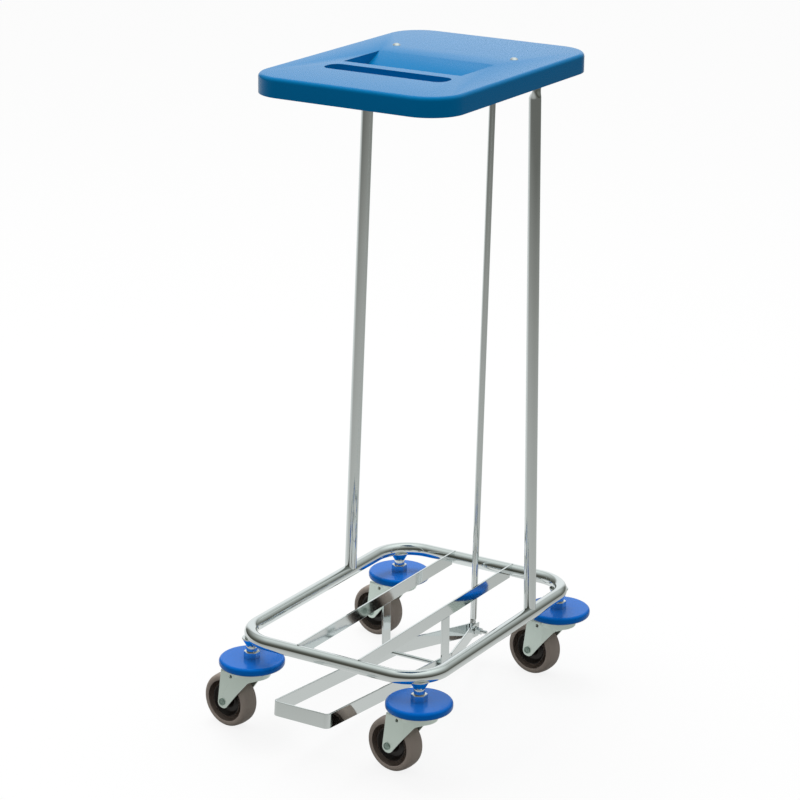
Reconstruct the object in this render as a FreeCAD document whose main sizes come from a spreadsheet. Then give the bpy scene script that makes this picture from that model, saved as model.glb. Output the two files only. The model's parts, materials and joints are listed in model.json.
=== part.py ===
import FreeCAD, Part
import math
import os
import re
import Sketcher

# Laundry sack holder: a chromed tube base on four swivel castors with bumper discs, two uprights
# that carry a sack ring, and a moulded lid that a foot pedal lifts through a push rod.
# Frame: X to the right, Y to the rear, Z up, with the floor under the middle of the base at the origin.

doc = FreeCAD.newDocument("laundry_sack_holder")
sheet = doc.addObject("Spreadsheet::Sheet", "Sizes")
nodes = []

SIZES = {
    # Base loop of round tube
    "tube_d": 20,
    "base_width": 320.6,
    "base_depth": 450.2,
    "base_corner": 58,

    # Two flat bars on edge across the base, and the pedal brackets that hang from them
    "flat_bar": 3,
    "bar_tall": 20.2,
    "bar_lift": 1.2,
    "bar_spacing": 103.8,
    "bracket_wide": 21,
    "bracket_round": 9.5,

    # Uprights with crimped tops
    "upright_d": 18,
    "foot_lean": 1.6,
    "foot_y": 86.9,
    "head_gap": 9.6,
    "head_y": 98.4,
    "crimp_long": 17,
    "crimp_drop": 20,
    "tongue_thick": 4,
    "tongue_wide": 16,
    "tongue_out": 4.6,
    "tongue_seat": 0.8,

    # Sack ring of round bar, whose rear run is the hinge pin of the lid
    "ring_bar_d": 10,
    "ring_front_gap": 12.3,
    "ring_rear_gap": 4.5,
    "ring_corner": 28.8,

    # Moulded lid with a finger recess under a grip bar
    "lid_width": 322,
    "lid_front": 195.3,
    "lid_rear": 245.5,
    "lid_top": 982.3,
    "lid_deep": 28.2,
    "lid_corner": 54,
    "lid_wall": 3,
    "lid_edge": 6,
    "recess_wide": 192,
    "recess_rear": 58,
    "recess_deep": 22,
    "recess_run": 45.8,
    "grip_rear": 38,
    "grip_front": 58,
    "grip_thick": 9,
    "slot_wide": 198,
    "slot_front": 94.6,
    "slot_round": 15,

    # Hinge straps, their cross bar and the slotted clevis under the lid
    "strap_wide": 16,
    "strap_thick": 2.5,
    "strap_end": 11,
    "strap_clear": 1,
    "screw_back": 124,
    "clevis_reach": 27.4,
    "clevis_drop": 16.4,
    "clevis_plate": 3,
    "clevis_side": 0.9,
    "slot_play": 1.7,
    "slot_travel": 5.2,
    "cross_wide": 25,
    "clevis_front": 9.5,
    "clevis_rear": 13.5,
    "clevis_tip": 9,
    "screw_d": 5,
    "screw_head_d": 12,
    "screw_head_tall": 3,
    "screw_nut_af": 8,
    "screw_nut_tall": 4,
    "buffer_d": 14,
    "buffer_in": 41,
    "buffer_gap": 0.3,

    # Foot pedal of flat bar, bent to a U whose arms close on the foot of the push rod
    "axle_y": 20,
    "axle_drop": 86.5,
    "axle_d": 6,
    "pedal_slope": 4.85,
    "pedal_toe": 74,
    "pedal_width": 90.8,
    "pedal_tall": 22,
    "pedal_corner": 6.5,
    "pedal_waist": 30,
    "pedal_bend": 20,
    "bolt_inset": 29.13,
    "pedal_tip": 9,
    "axle_cap_d": 12,
    "axle_cap_thick": 2,
    "side_play": 0.5,
    "rod_bolt_d": 6,
    "rod_bolt_tail": 19,
    "bolt_head_af": 10,
    "bolt_head_tall": 4,
    "rod_nut_tall": 8,
    "washer_d": 13,
    "washer_thick": 1.2,

    # Push rod
    "rod_d": 10,
    "rod_tongue_thick": 6,
    "rod_tongue_wide": 15.5,
    "rod_top_y": 223.7,
    "rod_jog": 65,
    "rod_tip": 8.5,
    "rod_set": 1,
    "rod_play": 0.3,

    # Swivel castors with round bumper discs
    "wheel_d": 83,
    "wheel_wide": 30,
    "trail": 42.4,
    "swivel": -7.5,
    "hub_d": 50,
    "hub_lip": 3,
    "hub_inset": 4,
    "hub_web": 10,
    "hub_boss_d": 22,
    "hub_boss_wide": 32,
    "tyre_round": 6,
    "tyre_crown": 1.4,
    "tyre_bead": 4,
    "fork_inside": 34,
    "fork_sheet": 2.5,
    "fork_rise": 59.8,
    "crown_d": 55,
    "lug_half": 9.4,
    "lug_round": 8.4,
    "knee_reach": 31,
    "knee_drop": 31.8,
    "knee_round": 20,
    "chin_in": 8,
    "chin_drop": 16.3,
    "crown_skirt": 5,
    "crown_round": 2,
    "fork_back": 2,
    "fork_hole_d": 5,
    "fork_crease": 27,
    "fork_neck": 9,
    "fork_hole_in": 17,
    "fork_hole_drop": 14,
    "castor_axle_d": 8,
    "rivet_d": 11,
    "rivet_tall": 2.2,
    "kingpin_d": 12,
    "kingpin_head_d": 22,
    "kingpin_head_tall": 3,
    "race_d": 44,
    "race_tall": 4.9,
    "swivel_gap": 0.6,
    "disc_d": 97.4,
    "disc_thick": 12,
    "disc_edge": 4.5,
    "nut_across": 21,
    "nut_tall": 10.7,
    "collar_d": 16.5,
    "collar_tall": 8,
    "boss_seat": 7,
    "boss_low_d": 17,
    "boss_top_d": 29,
    "boss_tall": 12,

    # Fits: running fit on pins, and the play of a curled hinge eye on its bar
    "pin_fit": 0.08,
    "eye_fit": 0.1,
}
for row, (name, value) in enumerate(SIZES.items(), 1):
    sheet.set(f"A{row}", name)
    sheet.set(f"B{row}", str(value))
    sheet.setAlias(f"B{row}", name)
doc.recompute()

# Heights and places that follow from the sizes above, up from the floor and back from the base's rear tube
CROWN_Z = "(wheel_d / 2 + fork_rise)"
RACE_Z = f"({CROWN_Z} + swivel_gap)"
PIN_LOW = f"({CROWN_Z} - fork_sheet - swivel_gap)"
DISC_Z = f"({RACE_Z} + race_tall)"
NUT_Z = f"({DISC_Z} + disc_thick)"
COLLAR_Z = f"({NUT_Z} + nut_tall)"
BOSS_Z = f"({COLLAR_Z} + collar_tall)"
BASE_Z = f"({BOSS_Z} + boss_seat + tube_d / 2)"
BAR_LOW = f"({BASE_Z} + tube_d / 2 + bar_lift - bar_tall)"
CASTOR_X = "(base_width / 2 - base_corner * (1 - sqrt(0.5)))"
CASTOR_Y = "(base_depth / 2 - base_corner * (1 - sqrt(0.5)))"
AXLE_Z = f"({BASE_Z} - axle_drop)"
BOLT_Y = "(base_depth / 2 - bolt_inset)"
PEDAL_REACH = f"(({BOLT_Y} - axle_y) / cos(pedal_slope))"
PEDAL_FRONT = "(base_depth / 2 + axle_y + pedal_toe)"
BOLT_Z = f"({AXLE_Z} - {PEDAL_REACH} * sin(pedal_slope))"
HINGE_Z = "(lid_top - lid_wall - strap_thick - eye_fit - ring_bar_d / 2)"
HEAD_X = "(lid_width / 2 - lid_wall - head_gap - upright_d / 2)"
RING_X = f"({HEAD_X} + tongue_out - tongue_thick + tongue_seat - ring_bar_d / 2)"
RING_FRONT = "(lid_front - lid_wall - ring_front_gap - ring_bar_d / 2)"
RING_REAR = "(lid_rear - lid_wall - ring_rear_gap - ring_bar_d / 2)"
SCREW_X = f"({RING_X} - ring_corner - strap_clear - strap_wide / 2)"
SCREW_Y = f"({RING_REAR} - screw_back)"
BUFFER_X = f"({RING_X} - buffer_in)"
PIN_Y = f"({RING_REAR} - clevis_reach)"
PIN_Z = f"({HINGE_Z} - clevis_drop)"
ROD_HALF = "(rod_tongue_thick / 2 + rod_play)"


def ex(text):
    """Point every size name in the text at its cell."""
    return re.sub(r"[a-z_]\w*", lambda m: f"Sizes.{m[0]}" if m[0] in SIZES else m[0], str(text))


def val(text):
    """The number that the text stands for now, in millimetres or degrees."""
    return float(sheet.evalExpression(ex(text)))


def bind(thing, **texts):
    for name, text in texts.items():
        thing.setExpression(name, ex(text))


def place(thing, x=0, y=0, z=0, turn=None):
    """Bind the place of an object, and its turn as an axis and an angle."""
    if turn:
        thing.Placement = FreeCAD.Placement(FreeCAD.Vector(), FreeCAD.Rotation(FreeCAD.Vector(*turn[0]), 1))
        thing.setExpression("Placement.Rotation.Angle", ex(turn[1]))
    for name, text in zip("xyz", (x, y, z)):
        thing.setExpression(f"Placement.Base.{name}", ex(text))
    return thing


def keep(label, thing):
    """Name a finished piece, which is written to a file of that name."""
    thing.Label = label
    nodes.append(thing)
    return thing


# Primitives and booleans

def cylinder(radius, height, x=0, y=0, z=0, along="z"):
    """A cylinder that starts at x, y, z and runs up, or to the right for along x."""
    thing = doc.addObject("Part::Cylinder", "Cylinder")
    bind(thing, Radius=radius, Height=height)
    return place(thing, x, y, z, ((0, 1, 0), 90) if along == "x" else None)


def cone(low, high, height, x=0, y=0, z=0):
    thing = doc.addObject("Part::Cone", "Cone")
    bind(thing, Radius1=low, Radius2=high, Height=height)
    return place(thing, x, y, z)


def prism(across, height, x=0, y=0, z=0, along="z"):
    """A hexagon by its width across flats."""
    thing = doc.addObject("Part::Prism", "Hexagon")
    bind(thing, Circumradius=f"({across}) / sqrt(3)", Height=height)
    return place(thing, x, y, z, ((0, 1, 0), 90) if along == "x" else None)


def box(x0, x1, y0, y1, z0, z1):
    thing = doc.addObject("Part::Box", "Box")
    bind(thing, Length=f"({x1}) - ({x0})", Width=f"({y1}) - ({y0})", Height=f"({z1}) - ({z0})")
    return place(thing, x0, y0, z0)


def cut(base, *tools):
    for tool in tools:
        thing = doc.addObject("Part::Cut", "Cut")
        thing.Base = base
        thing.Tool = tool
        base = thing
    return base


def fuse(*things):
    thing = doc.addObject("Part::MultiFuse", "Fusion")
    thing.Shapes = list(things)
    return thing


def group(*things):
    thing = doc.addObject("Part::Compound", "Group")
    thing.Links = list(things)
    return thing


def ellipse(y_half, x_half, x, y, z):
    """A level oval section, long across Y."""
    thing = doc.addObject("Part::Ellipse", "Section")
    bind(thing, MajorRadius=y_half, MinorRadius=x_half)
    return place(thing, x, y, z, ((0, 0, 1), 90))


def loft(*sections):
    thing = doc.addObject("Part::Loft", "Loft")
    thing.Sections = list(sections)
    thing.Solid = True
    thing.Ruled = True
    return thing


# Bodies and sketches

def body(label):
    return keep(label, doc.addObject("PartDesign::Body", "Body"))


def sketch(owner, plane, at=0):
    """A sketch on one of the body's own planes, lifted off it by an offset."""
    thing = owner.newObject("Sketcher::SketchObject", "Sketch")
    face = [f for f in owner.Origin.OriginFeatures if f.Role == f"{plane}_Plane"][0]
    thing.AttachmentSupport = (face, [""])
    thing.MapMode = "FlatFace"
    thing.setExpression("AttachmentOffset.Base.z", ex(at))
    return thing


def pin_point(drawing, geometry, point, x, y):
    """Hold a point of the drawing at x and y from its origin."""
    for kind, text in (("DistanceX", x), ("DistanceY", y)):
        number = drawing.addConstraint(Sketcher.Constraint(kind, -1, 1, geometry, point, val(text)))
        drawing.setExpression(f"Constraints[{number}]", ex(text))


def hold_radius(drawing, geometry, radius):
    number = drawing.addConstraint(Sketcher.Constraint("Radius", geometry, val(radius)))
    drawing.setExpression(f"Constraints[{number}]", ex(radius))


def circle(drawing, x, y, radius):
    centre = FreeCAD.Vector(val(x), val(y), 0)
    number = drawing.addGeometry(Part.Circle(centre, FreeCAD.Vector(0, 0, 1), val(radius)), False)
    pin_point(drawing, number, 3, x, y)
    hold_radius(drawing, number, radius)


def path(drawing, corners, closed=True):
    """Lines through the corners, each an x, a y and, where it is rounded, a radius."""
    points = [FreeCAD.Vector(val(c[0]), val(c[1]), 0) for c in corners]
    count = len(points)
    ends = []
    for i, corner in enumerate(corners):
        here = points[i]
        if len(corner) < 3:
            ends.append((here, here, None))
            continue
        back = (points[i - 1] - here).normalize()
        ahead = (points[(i + 1) % count] - here).normalize()
        radius = val(corner[2])
        half = back.getAngle(ahead) / 2
        start = here + back * (radius / math.tan(half))
        end = here + ahead * (radius / math.tan(half))
        middle = here + (back + ahead).normalize() * (radius / math.sin(half) - radius)
        ends.append((start, end, Part.Arc(start, middle, end)))
    lines = []
    for i in range(count if closed else count - 1):
        segment = Part.LineSegment(ends[i][1], ends[(i + 1) % count][0])
        lines.append(drawing.addGeometry(segment, False))
    for i, corner in enumerate(corners):
        before = lines[i - 1] if closed or i else None
        after = lines[i] if i < len(lines) else None
        if ends[i][2] is None:
            if before is not None and after is not None:
                drawing.addConstraint(Sketcher.Constraint("Coincident", before, 2, after, 1))
            pin_point(drawing, before if after is None else after, 2 if after is None else 1, *corner[:2])
            continue
        arc = drawing.addGeometry(ends[i][2], False)
        turn = (points[i] - points[i - 1]).cross(points[(i + 1) % count] - points[i]).z
        first, last = (1, 2) if turn > 0 else (2, 1)
        drawing.addConstraint(Sketcher.Constraint("Tangent", before, 2, arc, first))
        drawing.addConstraint(Sketcher.Constraint("Tangent", arc, last, after, 1))
        hold_radius(drawing, arc, corner[2])
        mark = drawing.addGeometry(Part.Point(points[i]), True)
        drawing.addConstraint(Sketcher.Constraint("PointOnObject", mark, 1, before))
        drawing.addConstraint(Sketcher.Constraint("PointOnObject", mark, 1, after))
        pin_point(drawing, mark, 1, *corner[:2])


def rectangle(drawing, x0, x1, y0, y1, radius=None):
    corners = [(x0, y0), (x1, y0), (x1, y1), (x0, y1)]
    path(drawing, [c + (radius,) if radius else c for c in corners])


def slot(drawing, x0, y0, x1, y1, radius):
    """A slot with round ends about its two end points."""
    a = FreeCAD.Vector(val(x0), val(y0), 0)
    b = FreeCAD.Vector(val(x1), val(y1), 0)
    along = (b - a).normalize() * val(radius)
    side = FreeCAD.Vector(-along.y, along.x, 0)
    low = drawing.addGeometry(Part.LineSegment(a - side, b - side), False)
    far = drawing.addGeometry(Part.Arc(b - side, b + along, b + side), False)
    high = drawing.addGeometry(Part.LineSegment(b + side, a + side), False)
    near = drawing.addGeometry(Part.Arc(a + side, a - along, a - side), False)
    for first, second in ((low, far), (far, high), (high, near), (near, low)):
        drawing.addConstraint(Sketcher.Constraint("Tangent", first, 2, second, 1))
    pin_point(drawing, far, 3, x1, y1)
    pin_point(drawing, near, 3, x0, y0)
    hold_radius(drawing, far, radius)
    drawing.addConstraint(Sketcher.Constraint("Equal", far, near))


def pad(owner, drawing, length, both_ways=False):
    thing = owner.newObject("PartDesign::Pad", "Pad")
    thing.Profile = drawing
    thing.Midplane = both_ways
    bind(thing, Length=length)
    return thing


def pocket(owner, drawing, length, both_ways=False, upwards=False):
    """Cut a drawing's outline, down from its plane, up from it, or half each way."""
    thing = owner.newObject("PartDesign::Pocket", "Pocket")
    thing.Profile = drawing
    thing.Midplane = both_ways
    thing.Reversed = upwards
    bind(thing, Length=length)
    doc.recompute()
    return thing


def pipe(owner, profile, spine):
    thing = owner.newObject("PartDesign::AdditivePipe", "Pipe")
    thing.Profile = profile
    thing.Spine = spine
    return thing


def revolve(owner, drawing):
    """Turn a drawing about the upright axis of its sketch."""
    thing = owner.newObject("PartDesign::Revolution", "Revolution")
    thing.Profile = drawing
    thing.ReferenceAxis = (drawing, ["V_Axis"])
    return thing


def fillet(owner, radius, chosen):
    """Round the edges of the body that the test picks."""
    doc.recompute()
    base = owner.Tip
    names = [f"Edge{i + 1}" for i, edge in enumerate(base.Shape.Edges) if chosen(edge)]
    thing = owner.newObject("PartDesign::Fillet", "Fillet")
    thing.Base = (base, names)
    bind(thing, Radius=radius)
    return thing


# Base loop: one bent tube

base = body("base_frame")
loop = sketch(base, "XY", BASE_Z)
path(loop, [
    (0, "-base_depth / 2"),
    ("base_width / 2", "-base_depth / 2", "base_corner"),
    ("base_width / 2", "base_depth / 2", "base_corner"),
    ("-base_width / 2", "base_depth / 2", "base_corner"),
    ("-base_width / 2", "-base_depth / 2", "base_corner"),
])
section = sketch(base, "YZ")
circle(section, "-base_depth / 2", BASE_Z, "tube_d / 2")
pipe(base, section, loop)

# Bars and brackets, the bars notched over the front and rear tube

for side, word in ((-1, "left"), (1, "right")):
    x0 = f"{side} * bar_spacing / 2 - flat_bar / 2"
    x1 = f"{side} * bar_spacing / 2 + flat_bar / 2"
    flat = box(x0, x1, "-base_depth / 2", "base_depth / 2", BAR_LOW, f"{BAR_LOW} + bar_tall")
    front = cylinder("tube_d / 2", "2 * bar_spacing", "-bar_spacing", "-base_depth / 2", BASE_Z, "x")
    rear = cylinder("tube_d / 2", "2 * bar_spacing", "-bar_spacing", "base_depth / 2", BASE_Z, "x")
    keep(f"support_bar_{word}", cut(flat, front, rear))

    bracket = body(f"pedal_bracket_{word}")
    drawing = sketch(bracket, "YZ", f"{side} * bar_spacing / 2")
    path(drawing, [
        ("axle_y - bracket_wide / 2", BAR_LOW),
        ("axle_y - bracket_wide / 2", f"{AXLE_Z} - bracket_wide / 2", "bracket_round"),
        ("axle_y + bracket_wide / 2", f"{AXLE_Z} - bracket_wide / 2", "bracket_round"),
        ("axle_y + bracket_wide / 2", BAR_LOW),
    ])
    circle(drawing, "axle_y", AXLE_Z, "axle_d / 2")
    pad(bracket, drawing, "flat_bar", both_ways=True)

# Pedal axle with its caps and spacing washers

half_axle = "(bar_spacing / 2 + flat_bar / 2 + axle_cap_thick)"
keep("pedal_axle", cylinder("axle_d / 2", f"2 * {half_axle}", f"-{half_axle}", "axle_y", AXLE_Z, "x"))
caps = []
spacers = []
gap = "(bar_spacing / 2 - flat_bar - pedal_width / 2 - side_play)"
for side in (-1, 1):
    start = f"{side} * (bar_spacing / 2 + flat_bar / 2 + axle_cap_thick / 2) - axle_cap_thick / 2"
    hole = cylinder("axle_d / 2", f"2 * {half_axle}", f"-{half_axle}", "axle_y", AXLE_Z, "x")
    caps.append(cut(cylinder("axle_cap_d / 2", "axle_cap_thick", start, "axle_y", AXLE_Z, "x"), hole))
    start = f"{side} * (bar_spacing / 2 - flat_bar / 2 - {gap} / 2) - {gap} / 2"
    spacers.append(cut(cylinder("axle_cap_d / 2", gap, start, "axle_y", AXLE_Z, "x"), hole))
keep("axle_caps", group(*caps))
keep("axle_spacers", group(*spacers))

# Sack ring

ring = body("sack_ring")
loop = sketch(ring, "XY", HINGE_Z)
path(loop, [
    (0, f"-{RING_FRONT}"),
    (RING_X, f"-{RING_FRONT}", "ring_corner"),
    (RING_X, RING_REAR, "ring_corner"),
    (f"-{RING_X}", RING_REAR, "ring_corner"),
    (f"-{RING_X}", f"-{RING_FRONT}", "ring_corner"),
])
section = sketch(ring, "YZ")
circle(section, f"-{RING_FRONT}", HINGE_Z, "ring_bar_d / 2")
pipe(ring, section, loop)

# Uprights, saddled on the base tube and crimped flat against the sides of the ring

for side, word in ((-1, "left"), (1, "right")):
    rise = "(lid_top - lid_deep - crimp_drop)"
    tongue_x = f"{side} * ({HEAD_X} + tongue_out - tongue_thick / 2)"
    tube = loft(
        ellipse("upright_d / 2", "upright_d / 2", f"{side} * (base_width / 2 - foot_lean)", "foot_y", BASE_Z),
        ellipse("upright_d / 2", "upright_d / 2", f"{side} * {HEAD_X}", "head_y", f"{rise} - crimp_long / 2"),
        ellipse("tongue_wide / 2", "tongue_thick / 2", tongue_x, "head_y", f"{rise} + crimp_long / 2"),
        ellipse("tongue_wide / 2", "tongue_thick / 2", tongue_x, "head_y", f"{HINGE_Z} + ring_bar_d / 2"),
    )
    keep(f"upright_{word}", cut(tube, base, ring))

# Lid shell: rounded tray, hollowed from below round the wall of the finger recess

lid = body("lid")
low = "(lid_top - lid_deep)"
drawing = sketch(lid, "XY", low)
rectangle(drawing, "-lid_width / 2", "lid_width / 2", "-lid_front", "lid_rear", "lid_corner")
pad(lid, drawing, "lid_deep")
fillet(lid, "lid_edge", lambda edge: edge.BoundBox.ZMin > val("lid_top") - 0.1)

drawing = sketch(lid, "XY", low)
rectangle(drawing, "-lid_width / 2 + lid_wall", "lid_width / 2 - lid_wall",
          "-lid_front + lid_wall", "lid_rear - lid_wall", "lid_corner - lid_wall")
rectangle(drawing, "-slot_wide / 2 - lid_wall", "slot_wide / 2 + lid_wall",
          "-slot_front - lid_wall", "recess_rear + lid_wall", "slot_round")
pocket(lid, drawing, "lid_deep - lid_wall", upwards=True)

# Finger recess: a floor that slopes down under the grip bar to the front slot
drawing = sketch(lid, "YZ")
floor = "(lid_top - recess_deep)"
path(drawing, [
    ("recess_rear", "lid_top"),
    ("recess_rear - recess_run", floor),
    ("-slot_front + slot_round", floor),
    ("-slot_front + slot_round", "lid_top - grip_thick"),
    ("-grip_rear", "lid_top - grip_thick"),
    ("-grip_rear", "lid_top"),
])
pocket(lid, drawing, "recess_wide", both_ways=True)
drawing = sketch(lid, "XY", "lid_top")
rectangle(drawing, "-slot_wide / 2", "slot_wide / 2", "-slot_front", "-grip_front", "slot_round")
pocket(lid, drawing, "recess_deep")

# Underside of the recess, parallel to its floor
drawing = sketch(lid, "YZ")
under = "(lid_wall * sqrt(1 + (recess_deep / recess_run)^2))"
path(drawing, [
    ("-slot_front - 2 * lid_wall", f"{low} - 1"),
    ("recess_rear + 2 * lid_wall", f"{low} - 1"),
    ("recess_rear + 2 * lid_wall", "lid_top - lid_wall"),
    (f"recess_rear + ({under} - lid_wall) * recess_run / recess_deep", "lid_top - lid_wall"),
    (f"recess_rear - recess_run + ({under} - lid_wall) * recess_run / recess_deep", f"{floor} - lid_wall"),
    ("-slot_front - 2 * lid_wall", f"{floor} - lid_wall"),
])
pocket(lid, drawing, "slot_wide + 4 * lid_wall", both_ways=True)

drawing = sketch(lid, "XY", "lid_top")
circle(drawing, f"-{SCREW_X}", SCREW_Y, "screw_d / 2")
circle(drawing, SCREW_X, SCREW_Y, "screw_d / 2")
pocket(lid, drawing, "2 * lid_wall")

# Hinge straps, each curled round the rear run of the ring

strap_low = f"({HINGE_Z} + ring_bar_d / 2 + eye_fit)"
screws = []
nuts = []
buffers = []
for side, word in ((-1, "left"), (1, "right")):
    x0 = f"{side} * {SCREW_X} - strap_wide / 2"
    flat = box(x0, f"{side} * {SCREW_X} + strap_wide / 2", f"{SCREW_Y} - strap_end", RING_REAR,
               strap_low, f"{strap_low} + strap_thick")
    eye = cylinder("ring_bar_d / 2 + eye_fit + strap_thick", "strap_wide", x0, RING_REAR, HINGE_Z, "x")
    bore = cylinder("ring_bar_d / 2 + eye_fit", "strap_wide", x0, RING_REAR, HINGE_Z, "x")
    hole = cylinder("screw_d / 2", "4 * strap_thick", f"{side} * {SCREW_X}", SCREW_Y,
                    f"{strap_low} - strap_thick")
    keep(f"hinge_strap_{word}", cut(fuse(flat, eye), bore, hole))

    head = doc.addObject("Part::Sphere", "Dome")
    dome = "((screw_head_d^2 / 4 + screw_head_tall^2) / (2 * screw_head_tall))"
    bind(head, Radius=dome, Angle1=f"asin(1 - screw_head_tall / {dome})")
    place(head, f"{side} * {SCREW_X}", SCREW_Y, f"lid_top + screw_head_tall - {dome}")
    long = "lid_wall + strap_thick + screw_nut_tall + 1"
    shank = cylinder("screw_d / 2", long, f"{side} * {SCREW_X}", SCREW_Y, f"lid_top - ({long})")
    screws.append(fuse(head, shank))
    block = prism("screw_nut_af", "screw_nut_tall", f"{side} * {SCREW_X}", SCREW_Y,
                  f"{strap_low} - screw_nut_tall")
    nuts.append(cut(block, cylinder("screw_d / 2", "4 * screw_nut_tall", f"{side} * {SCREW_X}", SCREW_Y,
                                    f"{strap_low} - 2 * screw_nut_tall")))
    tall = f"lid_top - lid_wall - {HINGE_Z} - ring_bar_d / 2 - buffer_gap"
    buffers.append(cylinder("buffer_d / 2", tall, f"{side} * {BUFFER_X}", f"-{RING_FRONT}",
                            f"{HINGE_Z} + ring_bar_d / 2 + buffer_gap"))
keep("lid_screws", group(*screws))
keep("lid_screw_nuts", group(*nuts))
keep("lid_buffers", group(*buffers))

keep("lid_cross_bar", box(f"-{SCREW_X} + strap_wide / 2", f"{SCREW_X} - strap_wide / 2",
                          f"{PIN_Y} - cross_wide / 2", f"{PIN_Y} + cross_wide / 2",
                          strap_low, f"{strap_low} + strap_thick"))

# Clevis: a folded channel whose slots point at the hinge, so that the rod's pin can shift in them

clevis = body("lid_clevis")
drawing = sketch(clevis, "YZ")
inside = "(rod_tongue_thick + 2 * clevis_side)"
path(drawing, [
    (f"{PIN_Y} - clevis_front", f"{PIN_Z} - clevis_tip", "clevis_tip - 1"),
    (f"{PIN_Y} + clevis_rear", f"{PIN_Z} - clevis_tip", "clevis_tip - 1"),
    (f"{PIN_Y} + clevis_rear", strap_low),
    (f"{PIN_Y} - clevis_front", strap_low),
])
pad(clevis, drawing, f"{inside} + 2 * clevis_plate", both_ways=True)
drawing = sketch(clevis, "YZ")
rectangle(drawing, f"{PIN_Y} - 2 * clevis_front", f"{PIN_Y} + 2 * clevis_rear",
          f"{PIN_Z} - 2 * clevis_tip", f"{strap_low} - clevis_plate")
pocket(clevis, drawing, inside, both_ways=True)
drawing = sketch(clevis, "YZ")
reach = "sqrt(clevis_reach^2 + clevis_drop^2)"
slot(drawing, PIN_Y, PIN_Z, f"{PIN_Y} + slot_travel * clevis_reach / {reach}",
     f"{PIN_Z} + slot_travel * clevis_drop / {reach}", "rod_bolt_d / 2 + slot_play")
pocket(clevis, drawing, f"2 * ({inside} + clevis_plate)", both_ways=True)

# Pedal: flat bar on edge swept round the U, drawn level about the axle and tipped by its slope

pedal = body("pedal_bar")
spine = sketch(pedal, "XY")
arm = "(pedal_width / 2)"
tip_x = f"({ROD_HALF} + flat_bar / 2)"
path(spine, [
    (tip_x, f"{PEDAL_REACH} + pedal_tip"),
    (tip_x, f"{PEDAL_REACH} - pedal_tip", "pedal_bend"),
    (arm, "pedal_waist", "pedal_bend"),
    (arm, f"-{PEDAL_FRONT} + flat_bar / 2", "pedal_corner"),
    (f"-{arm}", f"-{PEDAL_FRONT} + flat_bar / 2", "pedal_corner"),
    (f"-{arm}", "pedal_waist", "pedal_bend"),
    (f"-{tip_x}", f"{PEDAL_REACH} - pedal_tip", "pedal_bend"),
    (f"-{tip_x}", f"{PEDAL_REACH} + pedal_tip"),
], closed=False)
section = sketch(pedal, "XZ", f"-{PEDAL_REACH} - pedal_tip")
rectangle(section, f"{tip_x} - flat_bar / 2", f"{tip_x} + flat_bar / 2", "-pedal_tall / 2", "pedal_tall / 2")
pipe(pedal, section, spine)
drawing = sketch(pedal, "YZ")
circle(drawing, 0, 0, "axle_d / 2 + pin_fit")
circle(drawing, PEDAL_REACH, 0, "rod_bolt_d / 2")
pocket(pedal, drawing, "2 * pedal_width", both_ways=True)
place(pedal, 0, "axle_y", AXLE_Z, ((1, 0, 0), "-pedal_slope"))

# Bolt, washers and nut at the foot of the push rod

outer = f"({ROD_HALF} + flat_bar)"
head = prism("bolt_head_af", "bolt_head_tall", f"-{outer} - washer_thick - bolt_head_tall",
             BOLT_Y, BOLT_Z, "x")
shank = cylinder("rod_bolt_d / 2", f"2 * {outer} + washer_thick + rod_bolt_tail",
                 f"-{outer} - washer_thick", BOLT_Y, BOLT_Z, "x")
keep("rod_bolt", fuse(head, shank))
hole = cylinder("rod_bolt_d / 2", "pedal_width", "-pedal_width / 2", BOLT_Y, BOLT_Z, "x")
keep("rod_bolt_washers", group(
    cut(cylinder("washer_d / 2", "washer_thick", f"-{outer} - washer_thick", BOLT_Y, BOLT_Z, "x"), hole),
    cut(cylinder("washer_d / 2", "washer_thick", outer, BOLT_Y, BOLT_Z, "x"), hole),
))
keep("rod_bolt_nut", cut(prism("bolt_head_af", "rod_nut_tall", f"{outer} + washer_thick",
                               BOLT_Y, BOLT_Z, "x"), hole))

# Push rod, flattened at both ends and set forward at the top

round_half = "rod_d / 2"
flat_half = "rod_tongue_thick / 2"
wide_half = "rod_tongue_wide / 2"
bend_low = f"({PIN_Z} - rod_jog)"
rod = loft(
    ellipse(wide_half, flat_half, 0, BOLT_Y, f"{BOLT_Z} - rod_tip"),
    ellipse(wide_half, flat_half, 0, BOLT_Y, f"{BOLT_Z} + 2 * rod_tip"),
    ellipse(round_half, round_half, 0, f"{BOLT_Y} + rod_set", f"{BOLT_Z} + 4 * rod_tip"),
    ellipse(round_half, round_half, 0, "rod_top_y", bend_low),
    ellipse(round_half, round_half, 0, PIN_Y, f"{PIN_Z} - 4 * rod_tip"),
    ellipse(wide_half, flat_half, 0, PIN_Y, f"{PIN_Z} - 5 * rod_tip / 2"),
    ellipse(wide_half, flat_half, 0, PIN_Y, f"{PIN_Z} + rod_tip"),
)
foot = cylinder("rod_bolt_d / 2 + pin_fit", "4 * rod_d", "-2 * rod_d", BOLT_Y, BOLT_Z, "x")
top = cylinder("rod_bolt_d / 2", "4 * rod_d", "-2 * rod_d", PIN_Y, PIN_Z, "x")
keep("push_rod", cut(rod, foot, top))

# Pin at the top of the rod, with a washer outside each plate of the clevis

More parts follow.
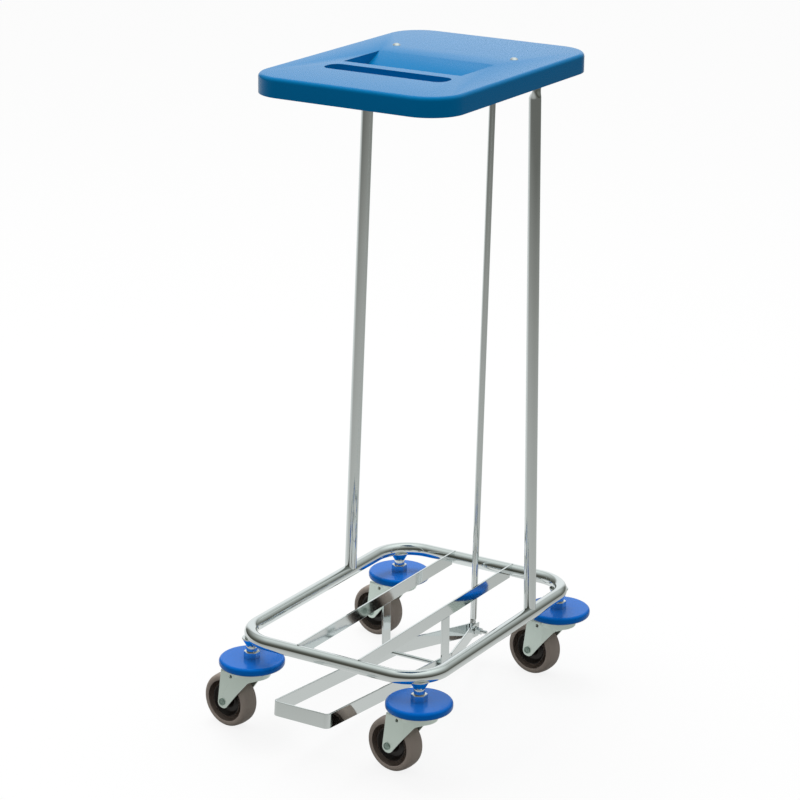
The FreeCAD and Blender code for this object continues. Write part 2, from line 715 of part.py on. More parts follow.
pin_half = f"({inside} / 2 + clevis_plate + side_play)"
shank = cylinder("rod_bolt_d / 2", f"2 * ({pin_half} + washer_thick + 2)",
                 f"-{pin_half} - washer_thick - 2", PIN_Y, PIN_Z, "x")
heads = [cylinder("rod_bolt_d * 0.8", 2, x, PIN_Y, PIN_Z, "x")
         for x in (f"-{pin_half} - washer_thick - 2", f"{pin_half} + washer_thick")]
keep("rod_pin", fuse(shank, *heads))
hole = cylinder("rod_bolt_d / 2", "8 * rod_d", "-4 * rod_d", PIN_Y, PIN_Z, "x")
keep("rod_pin_washers", group(
    cut(cylinder("washer_d * 0.7", "washer_thick", f"-{pin_half} - washer_thick", PIN_Y, PIN_Z, "x"), hole),
    cut(cylinder("washer_d * 0.7", "washer_thick", pin_half, PIN_Y, PIN_Z, "x"), hole),
))

# Castors: boss under the tube, kingpin, nut, bumper disc, race, fork, axle, hub and tyre

castor_nuts = []
for word, right, back in (("fl", -1, -1), ("fr", 1, -1), ("rl", -1, 1), ("rr", 1, 1)):
    x = f"{right} * {CASTOR_X}"
    y = f"{back} * {CASTOR_Y}"
    cup = cone("boss_low_d / 2", "boss_top_d / 2", "boss_tall", x, y, BOSS_Z)
    keep(f"castor_boss_{word}", cut(cup, base))

    pin = fuse(
        cylinder("kingpin_head_d / 2", "kingpin_head_tall", x, y, f"{PIN_LOW} - kingpin_head_tall"),
        cylinder("kingpin_d / 2", f"{BOSS_Z} - {PIN_LOW}", x, y, PIN_LOW),
        cylinder("collar_d / 2", f"{BOSS_Z} - {COLLAR_Z}", x, y, COLLAR_Z),
    )
    keep(f"castor_stem_{word}", pin)
    hole = cylinder("kingpin_d / 2", BOSS_Z, x, y)
    castor_nuts.append(cut(prism("nut_across", "nut_tall", x, y, f"{DISC_Z} + disc_thick"), hole))
    ring_race = cone("race_d / 2", "race_d / 2 - race_tall / 2", "race_tall", x, y, RACE_Z)
    keep(f"castor_race_{word}", cut(ring_race, hole))

    disc = body(f"bumper_disc_{word}")
    drawing = sketch(disc, "XZ")
    path(drawing, [
        ("kingpin_d / 2", DISC_Z),
        ("disc_d / 2", DISC_Z, "disc_edge"),
        ("disc_d / 2", f"{DISC_Z} + disc_thick", "disc_edge"),
        ("kingpin_d / 2", f"{DISC_Z} + disc_thick"),
    ])
    revolve(disc, drawing)
    place(disc, x, y)

    # Fork: folded sheet with two cheeks and a round crown
    fork = body(f"castor_fork_{word}")
    drawing = sketch(fork, "XZ")
    path(drawing, [
        ("-trail - fork_back", CROWN_Z),
        ("-trail - lug_half", "wheel_d / 2 - lug_half", "lug_round"),
        ("-trail + lug_half", "wheel_d / 2 - lug_half", "lug_round"),
        ("-trail + knee_reach", f"{CROWN_Z} - knee_drop", "knee_round"),
        ("crown_d / 2 - chin_in", f"{CROWN_Z} - chin_drop"),
        ("crown_d / 2", f"{CROWN_Z} - crown_skirt"),
        ("crown_d / 2", CROWN_Z),
    ])
    pad(fork, drawing, "fork_inside + 2 * fork_sheet", both_ways=True)
    top = val(CROWN_Z) - 0.1
    fillet(fork, "crown_round", lambda edge: edge.BoundBox.ZMin > top and edge.BoundBox.XLength > 5)
    drawing = sketch(fork, "XY")
    path(drawing, [
        ("-wheel_d", "fork_inside / 2"),
        ("-wheel_d", "-fork_inside / 2"),
        ("-trail + fork_crease", "-fork_inside / 2"),
        ("crown_d / 2", "-fork_neck"),
        ("wheel_d", "-fork_neck"),
        ("wheel_d", "fork_neck"),
        ("crown_d / 2", "fork_neck"),
        ("-trail + fork_crease", "fork_inside / 2"),
    ])
    pocket(fork, drawing, f"{CROWN_Z} - fork_sheet", upwards=True)
    drawing = sketch(fork, "XY")
    for wing in (-1, 1):
        path(drawing, [
            ("-trail + fork_crease", f"{wing} * (fork_inside / 2 + fork_sheet)"),
            ("crown_d / 2", f"{wing} * (fork_neck + fork_sheet)"),
            ("crown_d", f"{wing} * (fork_neck + fork_sheet)"),
            ("crown_d", f"{wing} * fork_inside"),
            ("-trail + fork_crease", f"{wing} * fork_inside"),
        ])
    pocket(fork, drawing, CROWN_Z, upwards=True)
    drawing = sketch(fork, "XY", f"{CROWN_Z} - fork_sheet")
    circle(drawing, 0, 0, "crown_d / 2")
    pad(fork, drawing, "fork_sheet")
    drawing = sketch(fork, "XZ")
    circle(drawing, "-trail", "wheel_d / 2", "castor_axle_d / 2")
    circle(drawing, "-trail + fork_hole_in", f"{CROWN_Z} - fork_hole_drop", "fork_hole_d / 2")
    pocket(fork, drawing, "2 * fork_inside", both_ways=True)
    drawing = sketch(fork, "XY", CROWN_Z)
    circle(drawing, 0, 0, "kingpin_d / 2 + pin_fit")
    pocket(fork, drawing, "2 * fork_sheet")
    place(fork, x, y, 0, ((0, 0, -1), "-swivel"))

    axle = body(f"castor_axle_{word}")
    half = "(fork_inside / 2 + fork_sheet)"
    drawing = sketch(axle, "XZ", f"-{half}")
    circle(drawing, "-trail", "wheel_d / 2", "castor_axle_d / 2")
    pad(axle, drawing, f"2 * {half}")
    for offset in (f"-{half} - rivet_tall", half):
        drawing = sketch(axle, "XZ", offset)
        circle(drawing, "-trail", "wheel_d / 2", "rivet_d / 2")
        pad(axle, drawing, "rivet_tall")
    place(axle, x, y, 0, ((0, 0, -1), "-swivel"))

    # Wheel: a crowned tyre on a dished hub, turned about the axle
    hub = body(f"castor_hub_{word}")
    drawing = sketch(hub, "XZ")
    path(drawing, [
        ("castor_axle_d / 2 + pin_fit", "-hub_boss_wide / 2"),
        ("hub_boss_d / 2", "-hub_boss_wide / 2"),
        ("hub_boss_d / 2", "-hub_web / 2"),
        ("hub_d / 2 - hub_lip", "-hub_web / 2"),
        ("hub_d / 2 - hub_lip", "-wheel_wide / 2 + hub_inset"),
        ("hub_d / 2", "-wheel_wide / 2 + hub_inset"),
        ("hub_d / 2", "wheel_wide / 2 - hub_inset"),
        ("hub_d / 2 - hub_lip", "wheel_wide / 2 - hub_inset"),
        ("hub_d / 2 - hub_lip", "hub_web / 2"),
        ("hub_boss_d / 2", "hub_web / 2"),
        ("hub_boss_d / 2", "hub_boss_wide / 2"),
        ("castor_axle_d / 2 + pin_fit", "hub_boss_wide / 2"),
    ])
    revolve(hub, drawing)
    tyre = body(f"castor_tyre_{word}")
    drawing = sketch(tyre, "XZ")
    path(drawing, [
        ("hub_d / 2", "-wheel_wide / 2 + tyre_bead"),
        ("hub_d / 2 + 2 * tyre_bead", "-wheel_wide / 2", "tyre_round"),
        ("wheel_d / 2 - tyre_crown", "-wheel_wide / 2", "tyre_round"),
        ("wheel_d / 2 + wheel_wide * (1 / cos(atan(2 * tyre_crown / wheel_wide)) - 1)", 0, "wheel_wide"),
        ("wheel_d / 2 - tyre_crown", "wheel_wide / 2", "tyre_round"),
        ("hub_d / 2 + 2 * tyre_bead", "wheel_wide / 2", "tyre_round"),
        ("hub_d / 2", "wheel_wide / 2 - tyre_bead"),
    ])
    revolve(tyre, drawing)
    for wheel in (hub, tyre):
        lay = FreeCAD.Rotation(FreeCAD.Vector(1, 0, 0), 90)
        turn = FreeCAD.Rotation(FreeCAD.Vector(0, 0, 1), val("swivel"))
        wheel.Placement = FreeCAD.Placement(FreeCAD.Vector(), turn * lay)
        wheel.setExpression("Placement.Base.x", ex(f"{x} - trail * cos(swivel)"))
        wheel.setExpression("Placement.Base.y", ex(f"{y} - trail * sin(swivel)"))
        wheel.setExpression("Placement.Base.z", ex("wheel_d / 2"))
keep("castor_nuts", group(*castor_nuts))

# Recompute, check and write every piece

doc.recompute()
for thing in doc.Objects:
    for state in thing.State:
        if state in ("Invalid", "Error"):
            raise RuntimeError(f"{thing.Label} did not build")
for node in nodes:
    if node.Shape.isNull() or not node.Shape.isValid():
        raise RuntimeError(f"{node.Label} has no valid shape")
os.makedirs("parts", exist_ok=True)
for node in nodes:
    node.Shape.exportStep(f"parts/{node.Label}.step")
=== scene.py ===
import json
import math

import bmesh
import bpy
from bpy.props import FloatProperty, FloatVectorProperty, PointerProperty
from mathutils import Matrix, Vector


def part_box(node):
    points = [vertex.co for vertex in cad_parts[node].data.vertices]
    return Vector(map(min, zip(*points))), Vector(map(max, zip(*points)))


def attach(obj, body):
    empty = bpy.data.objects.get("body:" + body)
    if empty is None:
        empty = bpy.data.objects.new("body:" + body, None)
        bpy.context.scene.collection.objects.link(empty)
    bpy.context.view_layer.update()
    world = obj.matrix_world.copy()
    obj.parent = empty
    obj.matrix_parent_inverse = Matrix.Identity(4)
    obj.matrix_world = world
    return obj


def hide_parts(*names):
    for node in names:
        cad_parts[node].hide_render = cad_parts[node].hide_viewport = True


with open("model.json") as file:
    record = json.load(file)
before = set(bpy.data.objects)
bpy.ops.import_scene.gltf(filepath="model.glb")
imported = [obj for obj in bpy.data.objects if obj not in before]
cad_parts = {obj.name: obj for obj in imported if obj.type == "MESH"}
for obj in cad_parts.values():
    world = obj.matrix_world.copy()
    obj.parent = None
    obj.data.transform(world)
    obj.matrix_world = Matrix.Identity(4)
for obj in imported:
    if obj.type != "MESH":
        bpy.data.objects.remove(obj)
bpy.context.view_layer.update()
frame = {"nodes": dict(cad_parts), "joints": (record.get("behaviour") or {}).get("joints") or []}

bl_info = {
    "name": "Laundry sack holder",
    "version": (1, 0, 0),
    "blender": (4, 5, 0),
    "location": "View3D > Sidebar > Sack holder",
    "description": "Builds a chromed laundry sack holder with a moulded pedal lid round its frame",
    "category": "Object",
}

CASTORS = ("fl", "fr", "rl", "rr")
SIDES = (("left", -1), ("right", 1))
JOINTS = {joint["name"]: joint for joint in frame["joints"]}
SHARP = math.radians(32)  # edges sharper than this stay crisp
ROUNDED = math.radians(34)  # carved edges sharper than this are rounded


def size(name, millimetres, about):
    return FloatProperty(name=name, description=about, default=millimetres / 1000, min=0.0, unit="LENGTH")


def linear(value):
    """One sRGB hex colour, such as 3A7FC2, as linear red, green, blue and alpha."""
    parts = [int(value[i:i + 2], 16) / 255 for i in (0, 2, 4)]
    return [c / 12.92 if c <= 0.04045 else ((c + 0.055) / 1.055) ** 2.4 for c in parts] + [1.0]


def colour(name, value, about):
    return FloatVectorProperty(name=name, description=about, subtype="COLOR", size=4, min=0.0, max=1.0,
                               default=linear(value))


class FrameSizes(bpy.types.PropertyGroup):
    """Sizes of the chromed frame."""
    tube: size("Base tube", 20, "Diameter of the base loop's tube")
    width: size("Base width", 320.6, "Width of the base loop between tube centres")
    depth: size("Base depth", 450.2, "Depth of the base loop between tube centres")
    corner: size("Base corner", 58, "Centre-line radius of the base loop's corners")
    height: size("Base height", 154.5, "Height of the base loop's centre line")
    upright: size("Upright tube", 18, "Diameter of the uprights")
    foot_out: size("Upright foot, out", 158.7, "From the middle out to the foot of an upright")
    foot_back: size("Upright foot, back", 86.9, "From the middle back to the foot of an upright")
    head_out: size("Upright head, out", 139.3, "From the middle out to the start of the crimp")
    head_back: size("Upright head, back", 98.5, "From the middle back to the start of the crimp")
    head_high: size("Upright head, high", 932.5, "Height of the start of the crimp")
    crimp: size("Crimp", 16, "Height over which the uprights' tops are pressed flat")
    tongue: size("Upright tongue", 25, "Width of the uprights' flat tops")
    thin: size("Upright flat", 4, "Thickness of the uprights' flat tops")
    set: size("Tongue offset", 2.6, "From the tube's axis out to the middle of the flat top")
    bar: size("Flat bar", 3, "Thickness of the flat bars")
    seat: size("Bar seat", 4, "Radius of the flat bars' notches over the tube")
    hanger: size("Bracket end", 9.5, "Radius of the pedal brackets' lower corners")
    edge: size("Bar edge", 0.5, "Radius of the flat bars' worn edges")
    ring_bar: size("Ring bar", 10, "Diameter of the sack ring's round bar")
    ring_corner: size("Ring corner", 28.8, "Centre-line radius of the sack ring's corners")


class PedalSizes(bpy.types.PropertyGroup):
    """Sizes of the foot pedal and the push rod."""
    reach: size("Pedal reach", 319.1, "From the axle to the front face of the pedal")
    width: size("Pedal width", 90.8, "Between the centres of the pedal's arms")
    tall: size("Pedal height", 22, "Height of the pedal's flat bar")
    waist: size("Pedal waist", 30, "From the axle back to where the arms start to close")
    tail: size("Pedal tail", 176.6, "From the axle back to the rod's bolt")
    past: size("Pedal end", 9, "From the rod's bolt to the ends of the arms and to their last bend")
    gap: size("Arm gap", 5.6, "Clear width between the ends of the arms")
    bend: size("Arm bend", 20, "Centre-line radius of the arms' bends")
    front_bend: size("Front bend", 6.5, "Centre-line radius of the pedal's front corners")
    worn: size("Pedal edge", 0.6, "Radius of the pedal's edges and of its axle's ends")
    axle: size("Axle", 6, "Diameter of the pedal's axle")
    bolt: size("Bolt", 6, "Diameter of the rod's bolt")
    hexagon: size("Bolt head", 10, "Width of the bolt's head and nut across their flats")
    head: size("Bolt head height", 4, "Height of the bolt's head")
    pitch: size("Thread pitch", 1, "Pitch of the bolt's thread")
    rod: size("Push rod", 10, "Diameter of the push rod")
    tongue: size("Rod tongue", 15.5, "Width of the rod's flattened ends")
    flat: size("Rod flat", 6, "Thickness of the rod's flattened ends")
    foot: size("Rod foot", 13, "From the bolt up to where the rod starts to turn round")
    foot_turn: size("Rod foot turn", 6.5, "Height over which the rod's foot turns round")
    elbow: size("Rod elbow", 65, "From the pin down to the rod's lower bend")
    elbow_back: size("Rod elbow, back", 223.7, "From the middle back to the rod's lower bend")
    neck: size("Rod neck", 34, "From the pin down to the rod's upper bend")
    neck_turn: size("Rod neck turn", 12.75, "Height over which the rod's top turns flat")


class LidSizes(bpy.types.PropertyGroup):
    """Sizes of the moulded lid."""
    corner: size("Lid corner", 54, "Radius of the lid's corners in plan")
    edge: size("Lid edge", 6, "Radius of the lid's top edge")
    wall: size("Lid wall", 3, "Thickness of the moulding")
    recess: size("Recess width", 192, "Width of the finger recess")
    slot: size("Slot width", 198, "Width of the front slot")
    depth: size("Recess depth", 22, "Depth of the finger recess")
    grip: size("Grip bar", 9, "Thickness of the grip bar")
    rear: size("Recess rear", 58, "From the middle back to the recess's rear edge")
    front: size("Recess front", 94.6, "From the middle forward to the slot's front edge")
    slope: size("Recess slope", 45.8, "Length over which the recess's rear wall slopes down")
    bar_front: size("Grip bar front", 58, "From the middle forward to the grip bar's front edge")
    bar_rear: size("Grip bar rear", 38, "From the middle forward to the grip bar's rear edge")
    screw_out: size("Screw, out", 98, "From the middle out to a lid screw")
    screw_back: size("Screw, back", 109, "From the middle back to a lid screw")
    soft: size("Moulded rounding", 1.6, "Radius of the moulded inner edges")


class CastorSizes(bpy.types.PropertyGroup):
    """Sizes of the swivel castors."""
    wheel: size("Wheel", 83, "Diameter of the tyre")
    wide: size("Wheel width", 30, "Width of the tyre")
    trail: size("Trail", 42.4, "From the swivel axis to the axle")
    hub: size("Hub", 50, "Diameter of the hub inside the tyre")
    inside: size("Fork opening", 34, "Clear width between the cheeks")
    sheet: size("Fork sheet", 2.5, "Thickness of the fork's sheet")
    crown: size("Crown height", 101.3, "Height of the top of the fork's dome")
    fold: size("Fold height", 94, "Height of the fold between the cheeks and the crown")
    disc: size("Bumper disc", 97.4, "Diameter of the bumper disc")
    shoulder: size("Tyre shoulder", 6, "Radius of the tyre's shoulders")
    bead: size("Tyre bead", 4, "How far the tyre's inner edge slopes in")
    crease: size("Crease", 27, "From the axle to the crease behind which the cheeks close in")
    neck: size("Neck", 9, "Half the clear width between the cheeks at the crown's front")
    neck_at: size("Neck place", 22, "From the swivel axis forward to the crown's front")
    cup: size("Crown cup", 55, "Diameter of the cup raised on the crown")
    bore: size("Kingpin bore", 12.4, "Diameter of the crown's hole for the kingpin")
    hole: size("Cheek hole", 5, "Diameter of the hole through the cheeks")
    rivet: size("Rivet head", 11, "Diameter of the axle's riveted heads")
    nut: size("Castor nut", 21, "Width of the castors' nuts across their flats")


class Finishes(bpy.types.PropertyGroup):
    """Colours of the finishes."""
    chrome: colour("Chrome", "E4E8E8", "Polished chromium plate")
    zinc: colour("Zinc", "E2EEE6", "Bright zinc plate of the forks")
    rivet: colour("Rivet", "9DB0A6", "Dull zinc of the axle rivets")
    steel: colour("Steel", "C9CCCD", "Plated strip under the lid")
    lid: colour("Lid", "027AB8", "Moulded blue of the lid")
    disc: colour("Bumper disc", "0570D8", "Moulded blue of the bumper discs")
    tyre: colour("Tyre", "AFA297", "Grey rubber of the tyres")
    hub: colour("Hub", "1E150E", "Dark nylon of the hubs")
    rubber: colour("Buffer", "202020", "Black rubber of the lid's buffers")
    floor: colour("Floor", "FCFCFC", "Pale studio floor")


# Materials

def add(tree, kind, settings=None, **links):
    """Add one node with its settings, which are sockets or properties, and the links into it."""
    made = tree.nodes.new(kind)
    for key, value in (settings or {}).items():
        if isinstance(key, int) or key in made.inputs:
            made.inputs[key].default_value = value
        else:
            setattr(made, key, value)
    for key, source in links.items():
        tree.links.new(source, made.inputs[int(key) if key.isdigit() else key.replace("_", " ")])
    return made


def blank(name):
    made = bpy.data.materials.new(name)
    made.use_nodes = True
    made.node_tree.nodes.clear()
    return made, made.node_tree


def close(tree, surface):
    add(tree, "ShaderNodeOutputMaterial", Surface=surface.outputs[0])


def finish(name, base, rough, spread, grain_mm, bump_mm, metallic=0.0, tint=0.06, stretch=(1, 1, 1),
           **settings):
    """A surface whose colour, roughness and relief vary a little at a grain of a real size."""
    material, tree = blank(name)
    place = add(tree, "ShaderNodeTexCoord")
    fitted = add(tree, "ShaderNodeMapping", {"Scale": stretch}, Vector=place.outputs["Object"])
    grain = add(tree, "ShaderNodeTexNoise", {"Scale": 1000 / grain_mm, "Detail": 3.0},
                Vector=fitted.outputs[0])
    cloud = add(tree, "ShaderNodeTexNoise", {"Scale": 12.0, "Detail": 2.0}, Vector=place.outputs["Object"])
    dark = [c * (1 - tint) for c in base[:3]] + [1.0]
    light = [min(1.0, c * (1 + tint)) for c in base[:3]] + [1.0]
    mix = add(tree, "ShaderNodeMix", {"data_type": "RGBA"})
    tree.links.new(cloud.outputs[0], mix.inputs[0])
    mix.inputs[6].default_value = dark
    mix.inputs[7].default_value = light
    gloss = add(tree, "ShaderNodeMapRange", {"To Min": rough - spread, "To Max": rough + spread},
                Value=grain.outputs[0])
    relief = add(tree, "ShaderNodeBump", {"Strength": 1.0, "Distance": bump_mm / 1000},
                 Height=grain.outputs[0])
    shader = add(tree, "ShaderNodeBsdfPrincipled", {"Metallic": metallic, **settings},
                 Base_Color=mix.outputs[2], Roughness=gloss.outputs[0], Normal=relief.outputs[0])
    close(tree, shader)
    return material


def finishes(colours):
    """Every material of the object, by its name."""
    made = {
        # Chromium plate on polished steel: a mirror that is faintly uneven along the tube
        "Chrome plate": finish("Chrome plate", colours.chrome, 0.07, 0.02, 9.0, 0.004, 1.0, 0.02),
        # Chromium plate on rolled flat bar: flat enough to mirror the castors, with a slight orange peel
        "Chromed flat bar": finish("Chromed flat bar", colours.chrome, 0.07, 0.02, 4.0, 0.003, 1.0, 0.03),
        # Bright zinc plate on pressed sheet: pale and milky, with a faint crystal mottle
        "Bright zinc plate": finish("Bright zinc plate", colours.zinc, 0.38, 0.08, 2.5, 0.02, 0.8, 0.06),
        # Dull zinc of the rivets: greyer than the sheet, with the marks of the riveting tool
        "Dull zinc rivet": finish("Dull zinc rivet", colours.rivet, 0.42, 0.08, 1.0, 0.02, 0.6, 0.1),
        # Plated strip: satin, with rolling lines along its length
        "Satin steel strip": finish("Satin steel strip", colours.steel, 0.3, 0.06, 1.2, 0.01, 1.0, 0.04,
                                    (1, 0.05, 1)),
        # Injection-moulded ABS: satin with a fine spark-eroded grain, tinted in its own sheen
        "Moulded blue ABS": finish("Moulded blue ABS", colours.lid, 0.27, 0.04, 1.0, 0.008, 0.0, 0.03,
                                   **{"IOR": 1.42, "Specular Tint": (0.0, 0.45, 0.9, 1)}),
        # Polished polypropylene: glossy, softly wavy from the mould
        "Blue bumper plastic": finish("Blue bumper plastic", colours.disc, 0.19, 0.03, 6.0, 0.01, 0.0, 0.03,
                                      **{"IOR": 1.49, "Specular Tint": (0.02, 0.45, 0.9, 1)}),
        # Grey thermoplastic rubber: matt, dusty, with scuffs round the tread
        "Grey tyre rubber": finish("Grey tyre rubber", colours.tyre, 0.62, 0.1, 1.6, 0.06, 0.0, 0.12),
        # Dark nylon hub: dull and fine
        "Dark nylon": finish("Dark nylon", colours.hub, 0.5, 0.06, 1.5, 0.02, 0.0, 0.1),
        # Black nitrile rubber
        "Black rubber": finish("Black rubber", colours.rubber, 0.7, 0.05, 1.0, 0.02, 0.0, 0.1),
    }
    return made


def material(name):
    if name not in bpy.data.materials:
        finishes(bpy.context.scene.finishes)
    return bpy.data.materials[name]


# Mesh helpers

def piece(bm, name, body, finish_name, replaces=(), rounding=0.0):
    """Close a bmesh into an object that rides on a body and stands for some nodes."""
    bmesh.ops.remove_doubles(bm, verts=bm.verts, dist=1e-6)
    bmesh.ops.recalc_face_normals(bm, faces=bm.faces)
    for face in bm.faces:
        face.smooth = True
    mesh = bpy.data.meshes.new(name)
    bm.to_mesh(mesh)
    bm.free()
    mesh.materials.append(material(finish_name))
    mesh.set_sharp_from_angle(angle=SHARP)
    made = bpy.data.objects.new(name, mesh)
    bpy.context.scene.collection.objects.link(made)
    if rounding:
        rounded = made.modifiers.new("Rounding", "BEVEL")
        rounded.width = rounding
        rounded.segments = 3
        rounded.limit_method = "ANGLE"
        rounded.angle_limit = SHARP
        rounded.harden_normals = True
    else:
        even = made.modifiers.new("Even shading", "WEIGHTED_NORMAL")
        even.keep_sharp = True
    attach(made, body)
    if replaces:
        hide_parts(*replaces)
    return made


def verts_of(made):
    """The vertices that an extrusion makes."""
    return [item for item in made if isinstance(item, bmesh.types.BMVert)]


def rim_of(made):
    """The open edges that an extrusion or a spin leaves at its far end."""
    return [item for item in made if isinstance(item, bmesh.types.BMEdge) and item.is_boundary]


def bevel(bm, geom, reach, steps, affect="EDGES"):
    """Round edges or corners over a reach, in some steps."""
    bmesh.ops.bevel(bm, geom=geom, offset=reach, segments=steps, profile=0.5, affect=affect, material=-1)


def drill(bm, radius, long, place, segments=32):
    """A plain round bar along Z, to cut a hole with."""
    bmesh.ops.create_cone(bm, cap_ends=True, segments=segments, radius1=radius, radius2=radius, depth=long,
                          matrix=place)


def cap(bm):
    """Close the open ends with flat faces."""
    bmesh.ops.holes_fill(bm, edges=[edge for edge in bm.edges if edge.is_boundary], sides=0)


def follow(bm, edges, points, closed=False):
    """Carry a section along straight runs and bends. A point is a place and the radius of its bend."""
    place = points[0][0]
    for i in range(1, len(points)):
        target, radius = points[i]
        heading = (target - place).normalized()
        if i + 1 < len(points) and radius:
            turned = (points[i + 1][0] - target).normalized()
            angle = heading.angle(turned)
            reach = radius * math.tan(angle / 2)
        else:
            angle = reach = 0.0
        made = bmesh.ops.extrude_edge_only(bm, edges=edges)["geom"]
        bmesh.ops.translate(bm, verts=verts_of(made), vec=target - heading * reach - place)
        edges = rim_of(made)
        place = target - heading * reach
        if angle:
            axis = heading.cross(turned).normalized()
            ring = list({v for e in edges for v in e.verts}) + edges
            made = bmesh.ops.spin(bm, geom=ring, cent=place + axis.cross(heading) * radius, axis=axis,
                                  angle=angle, steps=max(2, round(math.degrees(angle) / 5)))["geom_last"]
            edges = [e for e in made if isinstance(e, bmesh.types.BMEdge)]
            place = target + turned * reach
    if not closed:
        cap(bm)
    return edges


def draw(bm, edges, place, thin, wide, steps):
    """Draw a section up through steps, each a place with its part of round stock along X and along Y."""
    for target, thin_now, wide_now in steps:
        made = bmesh.ops.extrude_edge_only(bm, edges=edges)["geom"]
        verts = verts_of(made)
        bmesh.ops.scale(bm, vec=(thin_now / thin, wide_now / wide, 1), verts=verts,
                        space=Matrix.Translation(-place))
        bmesh.ops.translate(bm, verts=verts, vec=target - place)
        edges = rim_of(made)
        place, thin, wide = target, thin_now, wide_now
    cap(bm)


def ease(part):
    """A smooth start and stop between 0 and 1."""
    return (1 - math.cos(math.pi * part)) / 2


def hoop(bm, radius, centre, across, segments=32):
    """A round section whose plane faces along a direction."""
    turn = across.to_track_quat("Z", "Y").to_matrix().to_4x4()
    made = bmesh.ops.create_circle(bm, radius=radius, segments=segments,
                                   matrix=Matrix.Translation(centre) @ turn)
    return list({edge for vert in made["verts"] for edge in vert.link_edges})


def lathe(bm, profile, place=Matrix.Identity(4), steps=64):
    """Turn a profile of radii and heights round Z, then move it to its place."""
    verts = [bm.verts.new((radius, 0, height)) for radius, height in profile]
    edges = [bm.edges.new(pair) for pair in zip(verts, verts[1:])]
    if profile[0] == profile[-1]:
        bmesh.ops.remove_doubles(bm, verts=[verts[0], verts[-1]], dist=1e-7)
        edges = [edge for edge in edges if edge.is_valid]
        verts = [vert for vert in verts if vert.is_valid]
    before = set(bm.verts) - set(verts)
    bmesh.ops.spin(bm, geom=verts + edges, cent=(0, 0, 0), axis=(0, 0, 1), angle=math.tau, steps=steps,
                   use_merge=True)
    made = [vert for vert in bm.verts if vert not in before]
    bmesh.ops.transform(bm, matrix=place, verts=made)
    bmesh.ops.remove_doubles(bm, verts=made, dist=1e-6)


def arc(cx, cy, radius, start, end, steps=6):
    """Points of a rounded shoulder in a profile, by angles in degrees."""
    turns = [math.radians(start + (end - start) * i / steps) for i in range(steps + 1)]
    return [(cx + radius * math.cos(t), cy + radius * math.sin(t)) for t in turns]


def plate(bm, corners, thick, place=Matrix.Identity(4), steps=8):
    """A flat outline in XY with rounded corners, made thick upwards, then moved to its place."""
    before = set(bm.verts)
    verts = [bm.verts.new((corner[0], corner[1], 0)) for corner in corners]
    bm.faces.new(verts)
    points = [vert.co.copy() for vert in verts]
    for i, corner in enumerate(corners):
        if len(corner) > 2 and corner[2]:
            back = points[i - 1] - points[i]
            ahead = points[(i + 1) % len(points)] - points[i]
            reach = corner[2] / math.tan(back.angle(ahead) / 2)
            bevel(bm, [verts[i]], reach, steps, "VERTICES")
    faces = [face for face in bm.faces if not set(face.verts) & before]
    made = bmesh.ops.extrude_face_region(bm, geom=faces)["geom"]
    bmesh.ops.translate(bm, verts=verts_of(made), vec=(0, 0, thick))
    bmesh.ops.transform(bm, matrix=place, verts=[vert for vert in bm.verts if vert not in before])


def carve(target, cutter, operation="DIFFERENCE"):
    """Cut a bmesh out of an object's mesh, or join it on, for good."""
    mesh = bpy.data.meshes.new("cutter")
    bmesh.ops.recalc_face_normals(cutter, faces=cutter.faces)
    cutter.to_mesh(mesh)
    cutter.free()
    tool = bpy.data.objects.new("cutter", mesh)
    bpy.context.scene.collection.objects.link(tool)
    step = target.modifiers.new("Carve", "BOOLEAN")
    step.operation = operation
    step.solver = "EXACT"
    step.object = tool
    bpy.context.view_layer.update()
    shape = bpy.data.meshes.new_from_object(target.evaluated_get(bpy.context.evaluated_depsgraph_get()))
    target.modifiers.remove(step)
    target.data = shape
    bpy.data.objects.remove(tool)


def soften(made, rounding, steps=3, harden=False):
    """Shade a carved shape smoothly and round its edges."""
    for polygon in made.data.polygons:
        polygon.use_smooth = True
    made.data.set_sharp_from_angle(angle=SHARP)
    rounded = made.modifiers.new("Rounding", "BEVEL")
    rounded.width = rounding
    rounded.segments = steps
    rounded.limit_method = "ANGLE"
    rounded.angle_limit = ROUNDED
    rounded.harden_normals = harden
    if not harden:
        even = made.modifiers.new("Even shading", "WEIGHTED_NORMAL")
        even.keep_sharp = True


def across_x(x):
    """A place that stands an outline of Y and Z up, with its thickness along X."""
    return Matrix(((0, 0, 1, x), (1, 0, 0, 0), (0, 1, 0, 0), (0, 0, 0, 1)))


def along(axis, place):
    """A place whose Z runs along a direction."""
    return Matrix.Translation(place) @ Vector(axis).to_track_quat("Z", "Y").to_matrix().to_4x4()


def middle(node):
    low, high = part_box(node)
    return (Vector(low) + Vector(high)) / 2


def bolt_head(bm, across, tall, place):
    """A hexagon with its corners turned down on the outer face."""
    before = set(bm.verts)
    radius = across / math.sqrt(3)
    bmesh.ops.create_cone(bm, cap_ends=True, segments=6, radius1=radius, radius2=radius, depth=tall,
                          matrix=Matrix.Translation((0, 0, tall / 2)))
    made = [vert for vert in bm.verts if vert not in before]
    top = [e for e in bm.edges if all(v in made and v.co.z > tall * 0.9 for v in e.verts)]
    bevel(bm, top, across * 0.06, 2)
    bmesh.ops.transform(bm, matrix=place, verts=[vert for vert in bm.verts if vert not in before])


# Operators

